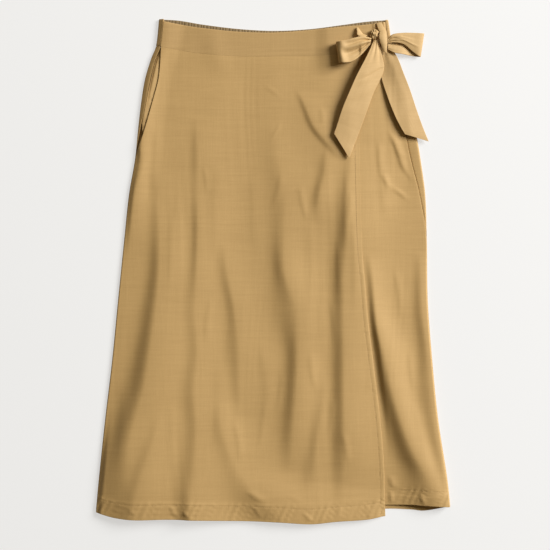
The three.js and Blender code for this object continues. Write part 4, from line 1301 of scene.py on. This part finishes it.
def along_line(x, drop, level, up=1):
    """Stitch centres and ways at even pitch along a line over a cloth."""
    line = place(x, drop, level)
    length = np.concatenate([[0], np.cumsum(np.linalg.norm(np.diff(line, axis=0), axis=1))])
    at = np.arange(STITCH_PITCH, length[-1] - STITCH_PITCH / 2, STITCH_PITCH)
    centres = np.stack([np.interp(at, length, line[:, k]) for k in range(3)], axis=-1)
    ahead = np.stack([np.interp(at + 1, length, line[:, k]) for k in range(3)], axis=-1)
    return centres + np.array([0, 0, up * (PLY / 2 + 0.05)]), ahead - centres


def hem_stitches(name, line, start, stop, level, up=1):
    x = np.linspace(start, stop, 600)
    drop = hem(line, x) - HEM_DEPTH + HEM_STITCH_IN
    stitches(name, *along_line(x, drop, level(x, drop), up))


hem_stitches("overlap_hem_stitches", "overlap", -286, 182, overlap_level)
hem_stitches("underlay_hem_stitches", "underlay", 196, 286, underlay_level)
drop = np.linspace(70, 846, 700)
x = free_edge(drop) - EDGE_STITCH
stitches("free_edge_stitches", *along_line(x, drop, overlap_level(x, drop)))
hem_stitches("back_hem_stitches", "back", -288, 290, lambda x, drop: BACK_LEVEL + 0 * x, up=-1)

# Floor, light and camera
FLOOR_SIZE = 60
FLOOR_BELOW = 0.0002
bpy.ops.object.select_all(action="DESELECT")
bpy.ops.mesh.primitive_plane_add(size=FLOOR_SIZE, location=(0, 0, -FLOOR_BELOW))
floor = bpy.context.object
floor.name = "pale_floor"
paper = new_material("pale paper", Base_Color=(0.3, 0.3, 0.3, 1), Emission_Color=(1, 0.992, 0.978, 1),
                     Emission_Strength=0.594, Roughness=0.95, Specular_IOR_Level=0.05)[0]
floor.data.materials.append(paper)

world = bpy.data.worlds.new("soft studio")
world.use_nodes = True
set_sockets(world.node_tree.nodes["Background"], Color=(1, 0.85, 0.5, 1), Strength=0.12)
bpy.context.scene.world = world


def softbox(name, elevation, azimuth, away, power, size):
    """A round lamp aimed at the middle of the skirt. Azimuth 0 is the right side, 90 the waist."""
    lamp = bpy.data.lights.new(name, "AREA")
    lamp.shape = "DISK"
    lamp.size = size
    lamp.energy = power
    holder = bpy.data.objects.new(name, lamp)
    up, round_by = math.radians(elevation), math.radians(azimuth)
    holder.location = (away * math.cos(up) * math.cos(round_by), away * math.cos(up) * math.sin(round_by),
                       away * math.sin(up))
    holder.rotation_euler = (0, math.pi / 2 - up, round_by)
    bpy.context.scene.collection.objects.link(holder)


softbox("key light", 30, 26, 6.5, 710, 3.3)
softbox("top light", 24, 84, 1.7, 2.2, 0.9)

bpy.context.scene.view_settings.view_transform = "Standard"
FIELD = 0.935
AWAY = 2.5
PHOTO_MIDDLE = (0.0034, -0.0068)
SENSOR = 36
lens = bpy.data.cameras.new("photo camera")
lens.sensor_width = SENSOR
lens.lens = SENSOR * AWAY / FIELD
camera = bpy.data.objects.new("photo camera", lens)
camera.location = (*PHOTO_MIDDLE, AWAY)
bpy.context.scene.collection.objects.link(camera)
bpy.context.scene.camera = camera
